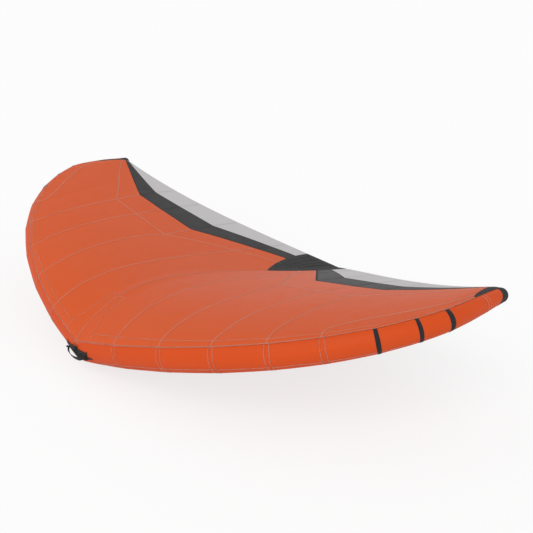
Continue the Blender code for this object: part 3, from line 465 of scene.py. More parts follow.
THREAD, THREAD_HEIGHT = 0.0013, 0.00045
STITCH_WIDTH, STITCH_PITCH, STITCH_LIFT = 0.0044, 0.0050, 0.0003
ROW_SPACING, NOSE_ROW_SPACING = 0.019, 0.024
FOLD_WIDTH, FOLD_HEIGHT, FOLD_LIFT, FOLD_EDGE = 0.025, 0.0005, 0.0001, 0.86
ON_FOLD = STITCH_LIFT + FOLD_HEIGHT
RING_STEPS, LOW_SEAM_STEPS = 96, 26
# Degrees round the tube where the seam strip starts and where the canopy leaves it, and their turn to the tip
FRONT_ANGLES, AFT_ANGLES = (-71, 69, 15), (-42, 60)

# Shares of the half length, and degrees round the tube, that the low lengthwise seam runs through
LOW_SEAM = (
    (0.050, -172), (0.054, -150), (0.060, -141), (0.072, -135), (0.095, -130), (0.132, -126),
    (0.257, -122), (0.380, -121), (0.494, -122), (0.596, -124), (0.691, -126), (0.829, -130), (0.905, -132),
)


def unit(vectors):
    return vectors / np.linalg.norm(vectors, axis=-1, keepdims=True)


def as_path(places):
    """Two arrays, of the points and the outward directions, from a list of such pairs."""
    return tuple(np.array([tuple(pair[k]) for pair in places]) for k in (0, 1))


def zigzag(path, width=STITCH_WIDTH, pitch=STITCH_PITCH, lift=STITCH_LIFT):
    """Sections of a thread that goes to and fro along a seam, closed round and at both ends."""
    runs = np.concatenate([[0.0], np.cumsum(np.linalg.norm(np.diff(path[0], axis=0), axis=1))])
    count = max(int(runs[-1] / pitch * 2), 4)
    at = np.linspace(0.0, runs[-1], count + 1)
    middle, out = (np.stack([np.interp(at, runs, row) for row in values.T], axis=1) for values in path)
    out = unit(out)
    ahead = unit(np.gradient(middle, axis=0))
    swing = np.where(np.arange(count + 1) % 2 == 0, -width / 2, width / 2)[:, None]
    low = middle + np.cross(out, ahead) * swing + out * lift
    half = np.full((count + 1, 1), THREAD / 2)
    half[[0, -1]] = 0.0
    sides = [low - ahead * half, low + out * (half * 2 * THREAD_HEIGHT / THREAD), low + ahead * half]
    return np.stack([*sides, sides[0]], axis=1)


def folded(path, width=FOLD_WIDTH, height=FOLD_HEIGHT, lift=FOLD_LIFT):
    """The flat fold of a felled seam, lying along the path."""
    points, outward = path
    aside = np.cross(outward, unit(np.gradient(points, axis=0))) * (width / 2)
    edges = ((-1.0, 0.0), (-FOLD_EDGE, height), (FOLD_EDGE, height), (1.0, 0.0))
    return np.stack([points + aside * over + outward * (lift + up) for over, up in edges], axis=1)


def plain_thread(name, colour, pale):
    finish = Finish(name, {"Specular IOR Level": 0.25, "Sheen Weight": 0.10})
    twist = finish.cloud(finish.in_space(), 900.0, 2.0)
    finish.relief(twist, 0.0002)
    return finish.end(finish.tint(twist, colour, pale), 0.7)


thread_pale = plain_thread("thread_pale", (0.80, 0.60, 0.52), (0.90, 0.73, 0.65))
thread_black = plain_thread("thread_black", (0.030, 0.030, 0.031), (0.060, 0.060, 0.062))
thread_grey = plain_thread("thread_grey", (0.120, 0.118, 0.122), (0.175, 0.172, 0.178))


def joined(name, layers, material, facing=None, body="wing"):
    """All the strips of one kind in one area, joined to one piece."""
    for side, is_left in sides_of(name):
        made = [laid("strip", rows, facing, is_left) for rows in layers]
        for piece in made:
            piece.select_set(True)
        bpy.context.view_layer.objects.active = made[0]
        bpy.ops.object.join()
        piece = bpy.context.object
        piece.name = piece.data.name = name.replace("SIDE", side)
        bpy.ops.object.shade_smooth()
        dress(piece, material, body)


def stitched(name, paths, thread, *stitch, lift=STITCH_LIFT, body="wing"):
    joined(name, [zigzag(path, *stitch, lift=lift) for path in paths], thread, body=body)


def seamed(name, paths, material, *fold):
    joined(name, [folded(path, *fold) for path in paths], material, CROWN)


def tube_path(places, lift=0.0):
    return as_path([(on_tube(*place, lift), out_of_tube(*place)) for place in places])


def front_angle(share):
    """Where the seam strip's front edge lies round the tube."""
    start, turn, twist = FRONT_ANGLES
    return math.radians(start + turn * share + twist * share**3)


def aft_angle(share):
    """Where the canopy leaves the tube."""
    start, turn = AFT_ANGLES
    return math.radians(start + turn * share)


def ring_path(share, shift=0.0):
    """Round the tube from its front seam, underneath, to where the canopy leaves it."""
    first, last = front_angle(share), aft_angle(share) - 2 * math.pi
    return tube_path([(share + shift / HALF_LENGTH, a) for a in even(first, last, RING_STEPS)])


def drawn_smooth(corners, steps):
    """Places along a smooth line through these corners."""
    corners = np.array(corners)
    ends = np.concatenate([[2 * corners[0] - corners[1]], corners, [2 * corners[-1] - corners[-2]]])
    places = []
    for i in range(len(corners) - 1):
        a, b, c, d = ends[i:i + 4]
        square, cube = a * 2 - b * 5 + c * 4 - d, b * 3 - a - c * 3 + d
        for t in np.arange(steps) / steps:
            places.append(tuple((b * 2 + (c - a) * t + square * t**2 + cube * t**3) / 2))
    return places + [tuple(corners[-1])]


ring_shares = (*JOIN_SHARES[1:6], JOIN_SHARES[9])
rings = [ring_path(share, shift) for share in ring_shares for shift in (-ROW_SPACING / 2, ROW_SPACING / 2)]
seamed("le_folds_SIDE", [ring_path(share) for share in ring_shares], casing_orange)
stitched("le_stitching_SIDE", rings, thread_pale, lift=ON_FOLD)
low_places = [(share, math.radians(degrees)) for share, degrees in drawn_smooth(LOW_SEAM, LOW_SEAM_STEPS)]
nose_lines = [ring_path(NOSE_ROW_SPACING / 2 / HALF_LENGTH), tube_path(low_places)]
stitched("le_nose_stitching_SIDE", nose_lines, thread_pale)

# Black bands
# Three straps of ribbed black webbing go round the outer tube on each side, over the joins. Each starts and
# ends under the edge of the canopy, where it is sewn in.

BAND_WIDTH, BAND_RISE, BAND_CLEAR = 0.0150, 0.0014, 0.0003
BAND_CLOTH = BAND_RISE * 0.4
BAND_TUCK, BAND_LAST, BAND_STEPS = math.radians(0.6), math.radians(-268), 96
# Places across the band in half widths, and the height of its face there
BAND_FACE = ((-1, 0.25), (-0.86, 0.9), (-0.4, 1.0), (0.0, 1.03), (0.4, 1.0), (0.86, 0.9), (1, 0.25))

band_black = webbing("band_webbing_black", (0.008, 0.009, 0.011), (0.024, 0.027, 0.031), 0.0011, 2.2)
band_cloth = (band_black, "black_webbing", BAND_CLOTH)
for number, share in enumerate(JOIN_SHARES[6:9], start=1):
    half = BAND_WIDTH / 2 / HALF_LENGTH
    angles = even(front_angle(share) - BAND_TUCK, BAND_LAST, BAND_STEPS)
    rows = []
    for over, up in BAND_FACE:
        rows.append([on_tube(share + half * over, a, BAND_CLEAR + BAND_RISE * up) for a in angles])
    node = f"le_band_{number}_SIDE"
    sewn(f"band_{number}_SIDE", rows, node, band_cloth, "le_cloth_5_SIDE", held="laid")

# Canopy
# A single skin of ripstop, cut in panels. The front edge is sewn along the tube in a wide strip, a large
# orange front panel runs to the rear seam, and orange, black and grey panels follow to the trailing edge.

TAIL_LINE = (
    Vector((0.0, 1.928, -0.026)),
    Vector((0.620, 1.490, 0.243)),
    Vector((1.110, 1.420, 0.300)),
    Vector((1.630, 1.285, 0.515)),
)
TAIL_SPREAD = 1.887
# Degrees that the section drops at the tail, and its pulls in shares of the chord, at the middle and the tip
TAIL_DROP, FRONT_PULL, REAR_PULL = (7.15, 11.35), (0.256, 0.060), (0.572, 0.439)
CANOPY_LIFT, CANOPY_CLOTH = 0.0023, 0.0011
CANOPY_END = 0.911
RIBS, LAST_RIB_PLACE = (0.221, 0.471, 0.860, CANOPY_END), 0.8627
REAR_SEAM = (0.872, 0.675, 0.655, 0.850, 0.876)
BLACK_FRONT = (0.916, 0.798, 0.795, 0.930, 0.948)
BLACK_REAR = (0.958, 0.897, 0.890, 0.985, 0.997)
SEAM_REACH, LAST_OF_CHORD = 0.03, 0.998
SETTLING, HALVINGS = 20, 16
PATCH_START, PATCH_WIDTH = 0.784, 0.052
BILLOW, BILLOW_FULL = 0.0015, 0.6
PLACE_STEPS, LEAST_STEPS = 130, 4
STRIP_STEPS = 12

# Where the seams between the front panels run back to: pairs of chord share and leading edge share
CHORD_SEAMS = (
    ((0.0, 0.132), (0.15, 0.137), (0.32, 0.128), (0.47, 0.115), (0.60, 0.106), (0.72, 0.101), (1.0, 0.098)),
    ((0.0, 0.257), (0.19, 0.265), (0.35, 0.263), (0.50, 0.251), (0.60, 0.238), (0.675, 0.221), (1.0, 0.221)),
    ((0.0, 0.380), (0.14, 0.389), (0.37, 0.386), (0.54, 0.372), (0.68, 0.358), (1.0, 0.352)),
    ((0.0, 0.494), (0.24, 0.498), (0.42, 0.490), (0.57, 0.480), (0.655, 0.471), (1.0, 0.471)),
)
seam_tables = [tuple(zip(*seam)) for seam in CHORD_SEAMS]


@functools.lru_cache(maxsize=None)
def section(share):
    """Control points of the canopy's section, which leaves the tube along its own tangent."""
    middle, along, up, aft = tube_frame(share)
    angle = aft_angle(share)
    size = tube_radius(share) + CANOPY_LIFT + stand_off(share, angle)
    start = middle + out_of_tube(share, angle) * size
    leave = aft * math.cos(angle) - up * math.sin(angle)
    end = bent(*TAIL_LINE, 1 - (1 - share) ** TAIL_SPREAD)
    chord = (end - start).length
    back = (end - start).normalized()
    normal = (up - back * up.dot(back)).normalized()
    drop = math.radians(between(TAIL_DROP, share))
    arrive = back * math.cos(drop) - normal * math.sin(drop)
    front_pull = start + leave * (chord * between(FRONT_PULL, share))
    rear_pull = end - arrive * (chord * between(REAR_PULL, share))
    return (start, front_pull, rear_pull, end), normal


def patch_share(part):
    """Half width of the black middle patch as a share of the leading edge."""
    if part <= PATCH_START:
        return 0.0
    left = (1 - part) / (1 - PATCH_START)
    return PATCH_WIDTH * (1 - left**2)


def cut_shares(part):
    """Where the middle, each panel seam and the tip patch lie at this share of the chord."""
    return [patch_share(part), *(float(np.interp(part, *table)) for table in seam_tables), CANOPY_END]


def billow(share, part):
    """The panels belly up a little between their seams."""
    cuts = cut_shares(part)
    if not cuts[0] < share < cuts[-2]:
        return 0.0
    i = bisect.bisect_right(cuts, share)
    inside = (share - cuts[i - 1]) / (cuts[i] - cuts[i - 1])
    return BILLOW * math.sin(math.pi * inside) * math.sin(math.pi * min(part, 1.0)) ** BILLOW_FULL


def canopy(share, part, lift=0.0):
    """A point of the canopy's upper face. Near the middle, sections slide so that the first is on X = 0."""
    controls, normal = section(share)
    point = bent(*controls, part)
    if share < MITRE_SHARE:
        along = tube_frame(0.0)[1]
        slide = bent(*section(0.0)[0], part).x / along.x
        point = point - along * (slide * (1 - share / MITRE_SHARE))
    return point + normal * (billow(share, part) + lift)


def cloth_share(place, part):
    """Columns of the cloth follow the seams, so a place between two seams stays between them."""
    return float(np.interp(place, (0.0, *JOIN_SHARES[1:5], CANOPY_END), cut_shares(part)))


def crossing(low, high, is_past, halvings):
    """Halves the way to where a test first holds: the last value tried, and the least for which it held."""
    for _ in range(halvings):
        middle = (low + high) / 2
        if is_past(middle):
            high = middle
        else:
            low = middle
    return middle, high


@functools.lru_cache(maxsize=None)
def seam_corners(values):
    ribs = (patch_share(values[0]), *RIBS)
    return ribs, [canopy(rib, value) for rib, value in zip(ribs, values)]


@functools.lru_cache(maxsize=None)
def on_seam(values, place):
    """Chord share of a seam across the panels, which runs straight from rib to rib as seen from above."""
    ribs, corners = seam_corners(values)
    part = values[0]
    for _ in range(SETTLING):
        share = cloth_share(place, part)
        part = (part + float(np.interp(share, ribs, values))) / 2
    i = min(max(bisect.bisect_left(ribs, share), 1), len(ribs) - 1)
    run = corners[i] - corners[i - 1]

    def is_past(part):
        off = canopy(cloth_share(place, part), part) - corners[i - 1]
        return run.x * off.y > run.y * off.x

    return crossing(part - SEAM_REACH, min(part + SEAM_REACH, LAST_OF_CHORD), is_past, HALVINGS)[0]


canopy_places = close_to_all(
    (*JOIN_SHARES[:9], LAST_RIB_PLACE, CANOPY_END),
    lambda low, high: max(int(PLACE_STEPS * (high - low)), LEAST_STEPS),
)


def panel_rows(low_values, high_values, steps):
    rows = []
    for place in canopy_places:
        low = on_seam(low_values, place) if low_values else 0.0
        high = on_seam(high_values, place) if high_values else 1.0
        rows.append([canopy(cloth_share(place, part), part) for part in even(low, high, steps)])
    return rows


def ripstop(name, shade, worn, roughness=0.50, sheen=0.06):
    """Thin ripstop: a square of doubled threads every few millimetres, faint crumples, and soft fading."""
    finish = Finish(name, {"Specular IOR Level": 0.26, "Sheen Weight": sheen, "Sheen Roughness": 0.40})
    flat, (across, along) = finish.on_cloth()
    space = finish.in_space()
    cell, doubled, thread = 0.0062, 0.000868, 0.0008
    grid = finish.maths("MAXIMUM", *(finish.lines(run, cell, doubled) for run in (across, along)))
    fine = finish.ridges(across, thread) * finish.ridges(along, thread)
    fade = finish.cloud(space, 2.1, 2.0)
    crumple = finish.cloud(space, 15.0, 4.0)
    finish.relief(crumple * 1.6 + grid * 0.16 + fine * 0.05, 0.0010)
    factor = fade * 0.55 + crumple * 0.25 + fine * 0.08 - grid * 0.10 + 0.06
    return finish.end(finish.tint(factor, worn, shade), roughness + crumple * 0.16)


canopy_orange = ripstop("ripstop_orange", (0.672, 0.093, 0.013), (0.612, 0.080, 0.010))
canopy_black = ripstop("ripstop_black", (0.021, 0.020, 0.021), (0.014, 0.0135, 0.014), 0.50, 0.02)
canopy_grey = ripstop("ripstop_grey", (0.580, 0.565, 0.565), (0.530, 0.515, 0.515), 0.52)
orange_sail = (canopy_orange, "orange_canopy", CANOPY_CLOTH)
black_sail = (canopy_black, "black_fabric", CANOPY_CLOTH)
grey_sail = (canopy_grey, "grey_fabric", CANOPY_CLOTH)
inner_casings = [f"le_cloth_{number}_SIDE" for number in range(1, 6)]

PANELS = (
    ("front", orange_sail, None, REAR_SEAM, 54),
    ("rear", orange_sail, REAR_SEAM, BLACK_FRONT, 14),
    ("black", black_sail, BLACK_FRONT, BLACK_REAR, 8),
    ("grey", grey_sail, BLACK_REAR, None, 8),
)
for panel, cloth, low_values, high_values, steps in PANELS:
    rows, node = panel_rows(low_values, high_values, steps), f"canopy_{panel}_SIDE"
    sewn(f"panel_{panel}_SIDE", rows, node, cloth, *inner_casings, facing=UPWARDS)


def strip_angle(share, part):
    return between((front_angle(share), aft_angle(share)), part)


def strip_row(share, parts):
    return [on_tube(share, strip_angle(share, part), CANOPY_LIFT) for part in parts]


strip_rows = [strip_row(share, even(0.0, 1.0, STRIP_STEPS)) for share in canopy_places]
strip_name, strip_way = "front_strip_SIDE", (0.0, -0.6, 0.8)
node = "le_seam_strip_SIDE"
sewn(strip_name, strip_rows, node, orange_sail, *inner_casings, held="laid", facing=strip_way)

# Seams of the canopy
# The panels meet in narrow flat seams, each with a row of zigzag in pale thread that shows on both faces. A
# finger of doubled cloth over the nose and the seam strip along the tube are sewn down the same way.

SEAM_FOLD, SEAM_STITCH = 0.009, 0.0034
SEAM_CLEAR, HEM_SHARE = 0.002, 0.008
SLOPE_REACH = 0.003
STRIP_EDGE, STRIP_SECOND, STRIP_LAST, STRIP_LAST_END = 0.035, 0.115, 0.985, 0.700
STRIP_START, RING_START = 0.002, 0.02
SEAM_STEPS, CROSS_STEPS, ALONG_STEPS, OVER_STEPS, END_STEPS = 130, 170, 300, 14, 16
CROSS_START = 0.001
FINGER = ((0.0515, 0.0), (0.0465, 0.04), (0.0400, 0.09), (0.0385, 0.14), (0.0413, 0.208))
FINGER_MIDDLE, FINGER_STEPS = (0.0, 0.203), 12
TIP_SWEEP = (
    (0.596, 0.0), (0.603, 0.09), (0.628, 0.16), (0.672, 0.23),
    (0.730, 0.27), (0.790, 0.29), (0.858, 0.30), (0.909, 0.305),
)
SWEEP_STEPS = 16
MIDDLE_FOLD, MIDDLE_HEIGHT, MIDDLE_LIFT = 0.0063, 0.0012, 0.0015
BLACK_ROWS, GREY_ROW = (0.0022, 0.0050), -0.0030


def canopy_out(share, part):
    """Outward direction of the canopy's upper face."""
    low, high = max(part - SLOPE_REACH, 0.0), min(part + SLOPE_REACH, 1.0)
    back = canopy(share, high) - canopy(share, low)
    aside = Vector((1.0, 0.0, 0.0))
    if share > SLOPE_REACH:
        aside = canopy(share + SLOPE_REACH, part) - canopy(share - SLOPE_REACH, part)
    return aside.cross(back).normalized()


def over_canopy(places, face=1):
    """A path along (leading edge share, chord share) places, on the upper face or on the lower one."""
    drop = 0.0 if face > 0 else CANOPY_CLOTH
    outs = [canopy_out(*place) for place in places]
    return as_path([(canopy(*place) - out * drop, out * face) for place, out in zip(places, outs)])


def on_both_faces(lines):
    return [over_canopy(places, face) for places in lines for face in (1, -1)]


def over_strip(share, start=0.0):
    """A path over the seam strip at one share of the leading edge."""
    parts = even(start, 1.0, OVER_STEPS)
    return tube_path([(share, strip_angle(share, part)) for part in parts], CANOPY_LIFT)


def along_strip(part, low, high):
    """A path along the seam strip, part of the way from its front edge to its rear edge."""
    shares = even(low, high, ALONG_STEPS)
    return tube_path([(share, strip_angle(share, part)) for share in shares], CANOPY_LIFT)


def panel_seams(low_values, high_values, steps):
    """Places down each seam between two panels, from one cross seam to the next."""
    seams = []
    for place in JOIN_SHARES[1:5]:
        low = on_seam(low_values, place) + SEAM_CLEAR if low_values else SEAM_CLEAR
        high = on_seam(high_values, place) - SEAM_CLEAR if high_values else 1 - HEM_SHARE
        seams.append([(cloth_share(place, part), part) for part in even(low, high, steps)])
    return seams


def cross_seam(values, shift=0.0):
    places = even(CROSS_START, CANOPY_END, CROSS_STEPS)
    return [(cloth_share(p, on_seam(values, p)), min(on_seam(values, p) + shift, 1.0)) for p in places]


def flat_seams(folds_name, stitches_name, paths, cloth, thread):
    seamed(folds_name, paths, cloth, SEAM_FOLD)
    stitched(stitches_name, paths, thread, SEAM_STITCH, lift=ON_FOLD)


seam_orange = ripstop("seam_fold_orange", (0.640, 0.145, 0.070), (0.585, 0.130, 0.062))
seam_lines = panel_seams(None, BLACK_FRONT, SEAM_STEPS)
seam_lines += [cross_seam(REAR_SEAM), drawn_smooth(TIP_SWEEP, SWEEP_STEPS)]
lines = on_both_faces(seam_lines) + [over_strip(share, RING_START) for share in JOIN_SHARES[1:6]]
flat_seams("canopy_folds_SIDE", "canopy_stitching_SIDE", lines, seam_orange, thread_pale)

finger_end = list(zip(*(even(*ends, FINGER_STEPS) for ends in zip(FINGER[-1], FINGER_MIDDLE))))
strip_lines = [along_strip(part, STRIP_START, CANOPY_END) for part in (STRIP_EDGE, STRIP_SECOND)]
strip_lines += [along_strip(STRIP_LAST, FINGER[0][0], STRIP_LAST_END), over_strip(FINGER[0][0])]
strip_lines += [over_canopy(drawn_smooth(FINGER, FINGER_STEPS)), over_canopy(finger_end)]
stitched("strip_stitching_SIDE", strip_lines, thread_pale, SEAM_STITCH)

middle_places = [(0.0, part) for part in even(SEAM_CLEAR, PATCH_START - SEAM_CLEAR, SEAM_STEPS)]
nose_points, nose_outs = over_strip(0.0, STRIP_EDGE)
nose_line = (nose_points, unit(nose_outs * np.array((0.0, 1.0, 1.0))))
middle_line = tuple(np.concatenate(pair) for pair in zip(nose_line, over_canopy(middle_places)))
seamed("middle_fold", [middle_line], seam_orange, MIDDLE_FOLD, MIDDLE_HEIGHT)
stitched("middle_stitching", [middle_line], thread_pale, SEAM_STITCH, lift=MIDDLE_LIFT)

border_lines = [cross_seam(BLACK_FRONT, shift) for shift in BLACK_ROWS] + [cross_seam(BLACK_REAR, GREY_ROW)]
stitched("black_stitching_SIDE", on_both_faces(border_lines), thread_black, SEAM_STITCH)
thread_soft = plain_thread("thread_soft_grey", (0.50, 0.42, 0.40), (0.60, 0.52, 0.50))
for colour, low_values, high_values, cloth, thread in (
    ("black", BLACK_FRONT, BLACK_REAR, canopy_black, thread_grey),
    ("grey", BLACK_REAR, None, canopy_grey, thread_soft),
):
    lines = on_both_faces(panel_seams(low_values, high_values, END_STEPS))
    flat_seams(f"{colour}_folds_SIDE", f"{colour}_seam_stitching_SIDE", lines, cloth, thread)

# Trailing edge hem
# The grey cloth is folded over at the trailing edge and sewn down, with a thin line inside the fold that
# keeps the edge from fluttering.

HEM_WIDTH, HEM_THICKNESS, HEM_BULGE = 0.0075, 0.0012, 0.0008
HEM_REACH, HEM_TURNS = 0.97, 6
# Places across the hem in its widths, and its half thickness there
HEM_FACE = ((1.0, 0.75), (0.5, 0.95))


def closed(name, rows, material, degrees=60, body="wing"):
    """A piece whose rows close round it."""
    for side, is_left in sides_of(name):
        piece = smoothed(laid(name.replace("SIDE", side), rows, None, is_left), degrees)
        dress(piece, material, body)
    return piece


hem_rows = []
for place in canopy_places:
    share = cloth_share(place, 1.0)
    out = canopy_out(share, 1.0)
    edge = canopy(share, 1.0) - out * (CANOPY_CLOTH / 2)
    inward = (canopy(share, HEM_REACH) - canopy(share, 1.0)).normalized()
    half = (CANOPY_CLOTH + HEM_THICKNESS) / 2
    row = [edge + inward * (HEM_WIDTH * over) + out * (half * up) for over, up in HEM_FACE]
    for turn in even(0.0, math.pi, HEM_TURNS):
        row.append(edge + out * (half * math.cos(turn)) - inward * (HEM_BULGE * math.sin(turn)))
    row += [edge + inward * (HEM_WIDTH * over) - out * (half * up) for over, up in HEM_FACE[::-1]]
    hem_rows.append(row + row[:1])
closed("hem_SIDE", hem_rows, canopy_grey)

# Middle patch and tip patches
# Heavy black cloth spreads the load at the three corners: a pointed patch over the strut's tail, with rows of
# stitching that fan out from its point, and one that wraps each tip from the tube to the trailing edge.

PATCH_LAP, PATCH_LEAD, PATCH_LIFT = 0.003, 0.012, 0.0008
PATCH_STEPS, PATCH_COLUMNS = 54, 8
# How far each row of stitching spreads and how far back it starts, as shares of the patch
PATCH_ROWS = ((0.88, 0.0), (0.64, 0.10), (0.43, 0.22), (0.25, 0.36))
ROUND_FRONT, ROW_END, ROW_STEPS, ROW_CROWDING = 0.016, 0.994, 60, 1.6
PATCH_FOLD, PATCH_FOLD_HEIGHT, PATCH_STITCH_LIFT = 0.011, 0.0008, 0.0018
TIP_STRIP_STEPS, TIP_CHORD_STEPS, TIP_PATCH_STEPS = 10, 30, 40

patch_black = webbing("patch_cloth_black", (0.013, 0.013, 0.014), (0.031, 0.030, 0.032), 0.0014)
patch_cloth = (patch_black, "black_fabric", CANOPY_CLOTH)
patch_first = PATCH_START - PATCH_LEAD
patch_halves = []
for part in even(patch_first, 1.0, PATCH_STEPS):
    half_width = patch_share(part) + PATCH_LAP * min((part - patch_first) / PATCH_LEAD, 1.0)
    patch_halves.append([canopy(share, part, PATCH_LIFT) for share in even(0.0, half_width, PATCH_COLUMNS)])
patch_rows = np.array([both_halves(half) for half in as_array(patch_halves)])
sewn("tail_patch", patch_rows, "canopy_centre_patch", patch_cloth, "strut_tail_cap", facing=UPWARDS)

patch_lines = []
for spread, back in PATCH_ROWS:
    first = PATCH_START + PATCH_LEAD + (1 - PATCH_START) * back
    parts = [first + (ROW_END - first) * (i / ROW_STEPS) ** ROW_CROWDING for i in range(ROW_STEPS + 1)]
    places = [(patch_share(p) * spread * min(1.0, math.sqrt((p - first) / ROUND_FRONT)), p) for p in parts]
    patch_lines.append(tuple(both_halves(values) for values in over_canopy(places)))
seamed("patch_folds", patch_lines, patch_black, PATCH_FOLD, PATCH_FOLD_HEIGHT, PATCH_LIFT)
stitched("patch_stitching", patch_lines, thread_grey, SEAM_STITCH, lift=PATCH_STITCH_LIFT)

tip_patch_rows = []
for share in even(CANOPY_END, 1.0, TIP_PATCH_STEPS):
    row = strip_row(share, even(0.0, 1.0, TIP_STRIP_STEPS)[:-1])
    tip_patch_rows.append(row + [canopy(share, part) for part in even(0.0, 1.0, TIP_CHORD_STEPS)])
node, tip_way = "canopy_tip_patch_SIDE", (0.0, -0.2, 1.0)
sewn("tip_patch_SIDE", tip_patch_rows, node, patch_cloth, "le_cloth_tip_SIDE", facing=tip_way)

# Strut
# A second tube of the same sailcloth runs from the leading edge to the tail under the middle of the canopy.
# It is sewn from four lengths, slims towards the tail and ends in a black cap with a slanted edge.

STRUT_START, STRUT_FULL, STRUT_END = 0.075, 0.750, 1.945
STRUT_JOINS = (0.404, 1.276, 1.550)
STRUT_CAP, STRUT_CAP_SLANT, STRUT_DOME = 1.800, 0.045, 0.022
STRUT_CAP_ROWS, STRUT_DOME_ROWS = 5, 12
STRUT_CAP_LAP, STRUT_CAP_LIFT, STRUT_CAP_STITCH = 0.006, 0.0012, 0.0014
STRUT_RADII = (0.086, 0.097, 0.024)
STRUT_LOW_Y, STRUT_LOW_Z = 1.200, -0.1155
# How high the underside rises towards the nose and towards the tail, and over what length
NOSE_RISE, TAIL_RISE = (0.0145, 1.100), (0.0285, 0.750)
STRUT_CLEAR, STRUT_EASE = 0.0008, 0.05
STRUT_PUCKERS, STRUT_PHASE, STRUT_STRAY = 15, 9, 2.0
LET_IN_SHARE, LET_IN_REACH, LET_IN_DEPTH = 0.012, 0.30, 0.010
UNDER_HALVINGS, LET_IN_HALVINGS = 22, 18
STRUT_SIDES, STRUT_ROWS, STRUT_SEAM_STEPS = 96, 30, 110
SLANT_ROOM = 0.01
STRUT_SEAM_SHIFT, STRUT_FOLD = 0.0052, 0.018
SADDLE_ROWS, SADDLE_REACH, SADDLE_FLAT = (0.008, 0.016), 2.3, 0.30


def canopy_under(y):
    """Height of the canopy's lower face on the middle plane."""
    controls = section(0.0)[0]
    part = crossing(0.0, 1.0, lambda part: bent(*controls, part).y >= y, UNDER_HALVINGS)[1]
    return canopy(0.0, part).z - CANOPY_CLOTH


@functools.lru_cache(maxsize=None)
def strut_size(y):
    front, full, tail = STRUT_RADII
    if y < STRUT_FULL:
        return full - (full - front) * ((STRUT_FULL - y) / (STRUT_FULL - STRUT_START)) ** 2
    size = tail + (full - tail) * (1 - ((y - STRUT_FULL) / (STRUT_END - STRUT_FULL)) ** 3)
    return min(size, (canopy_under(min(y, TAIL_LINE[0].y)) - STRUT_CLEAR - strut_low(y)) / 2)


def strut_low(y):
    rise, length = NOSE_RISE if y < STRUT_LOW_Y else TAIL_RISE
    return STRUT_LOW_Z + rise * ((y - STRUT_LOW_Y) / length) ** 2


def on_strut(y, angle, lift=0.0, shrink=1.0):
    """A point of the strut's face. The angle goes from straight down towards +X."""
    join = min(STRUT_JOINS, key=lambda j: abs(j - y))
    soft = give(angle, y, abs(y - join), STRUT_PUCKERS, join * STRUT_PHASE, STRUT_STRAY)
    ease = min(max((y - STRUT_START) / STRUT_EASE, 0.0), 1.0)
    size = (strut_size(y) + soft * ease + lift) * shrink
    return Vector((size * math.sin(angle), y, strut_low(y) + strut_size(y) - size * math.cos(angle)))


def out_of_strut(angle):
    return Vector((math.sin(angle), 0.0, -math.cos(angle)))


def let_in(angle):
    """Where the strut's cloth meets the leading edge's, at this angle round the strut."""
    middle, along = tube_frame(LET_IN_SHARE)[:2]

    def is_past(y):
        point = on_strut(y, angle)
        off = Vector((abs(point.x), point.y, point.z)) - middle
        return (off - along * off.dot(along)).length >= tube_radius(LET_IN_SHARE)

    return crossing(0.0, LET_IN_REACH, is_past, LET_IN_HALVINGS)[1]


def strut_rows(starts, ends, parts, lift=0.0):
    """Rows of cloth between two edges, each given as its places along the strut at every turn."""
    turns = list(zip(zip(starts, ends), strut_turns))
    return [[on_strut(between(edges, part), a, lift) for edges, a in turns] for part in parts]


def square_edge(y):
    return [y] * len(strut_turns)


strut_turns = full_turn(STRUT_SIDES, math.pi)
edges = [[let_in(a) - LET_IN_DEPTH for a in strut_turns], *(square_edge(y) for y in STRUT_JOINS)]
row_parts = close_to_ends(0.0, 1.0, STRUT_ROWS)
lengths = [strut_rows(low, high, row_parts) for low, high in zip(edges, edges[1:])]
slanted_edge = [STRUT_CAP - STRUT_CAP_SLANT * math.cos(a) for a in strut_turns]
tail_ys = close_to_ends(STRUT_JOINS[-1], STRUT_CAP, STRUT_ROWS)
tail_ys = [y for y in tail_ys if y < STRUT_CAP - STRUT_CAP_SLANT - SLANT_ROOM]
rows = [[on_strut(y, a) for a in strut_turns] for y in tail_ys]
lengths.append(rows + strut_rows(square_edge(tail_ys[-1]), slanted_edge, slant_parts[1:]))
for name, rows in zip(("front", "middle", "rear", "tail"), lengths):
    sewn(f"strut_cloth_{name}", rows, f"strut_casing_{name}", casing_cloth, "strut_bladder")

rows = [[on_strut(y - STRUT_CAP_LAP, a, STRUT_CAP_LIFT) for y, a in zip(slanted_edge, strut_turns)]]
cap_parts = even(0.0, 1.0, STRUT_CAP_ROWS)
rows += strut_rows(slanted_edge, square_edge(STRUT_END), cap_parts, STRUT_CAP_LIFT)
for out, wide in dome(STRUT_DOME_ROWS)[1:]:
    past = Vector((0.0, STRUT_DOME * out, 0.0))
    rows.append([on_strut(STRUT_END, a, STRUT_CAP_LIFT, wide) + past for a in strut_turns])
sewn("tail_cap", rows, "strut_tail_cap", cap_cloth, "strut_cloth_tail")


def strut_path(y_of, reach=math.pi, lift=0.0):
    """Round the strut, where y_of gives the place along it at each angle."""
    angles = even(-reach, reach, STRUT_SEAM_STEPS)
    return as_path([(on_strut(y_of(a), a, lift), out_of_strut(a)) for a in angles])


def saddle_row(shift):
    """A row of stitches beside the line where the strut is let into the leading edge."""
    return strut_path(lambda a: let_in(max(abs(a), SADDLE_FLAT)) + shift, SADDLE_REACH)


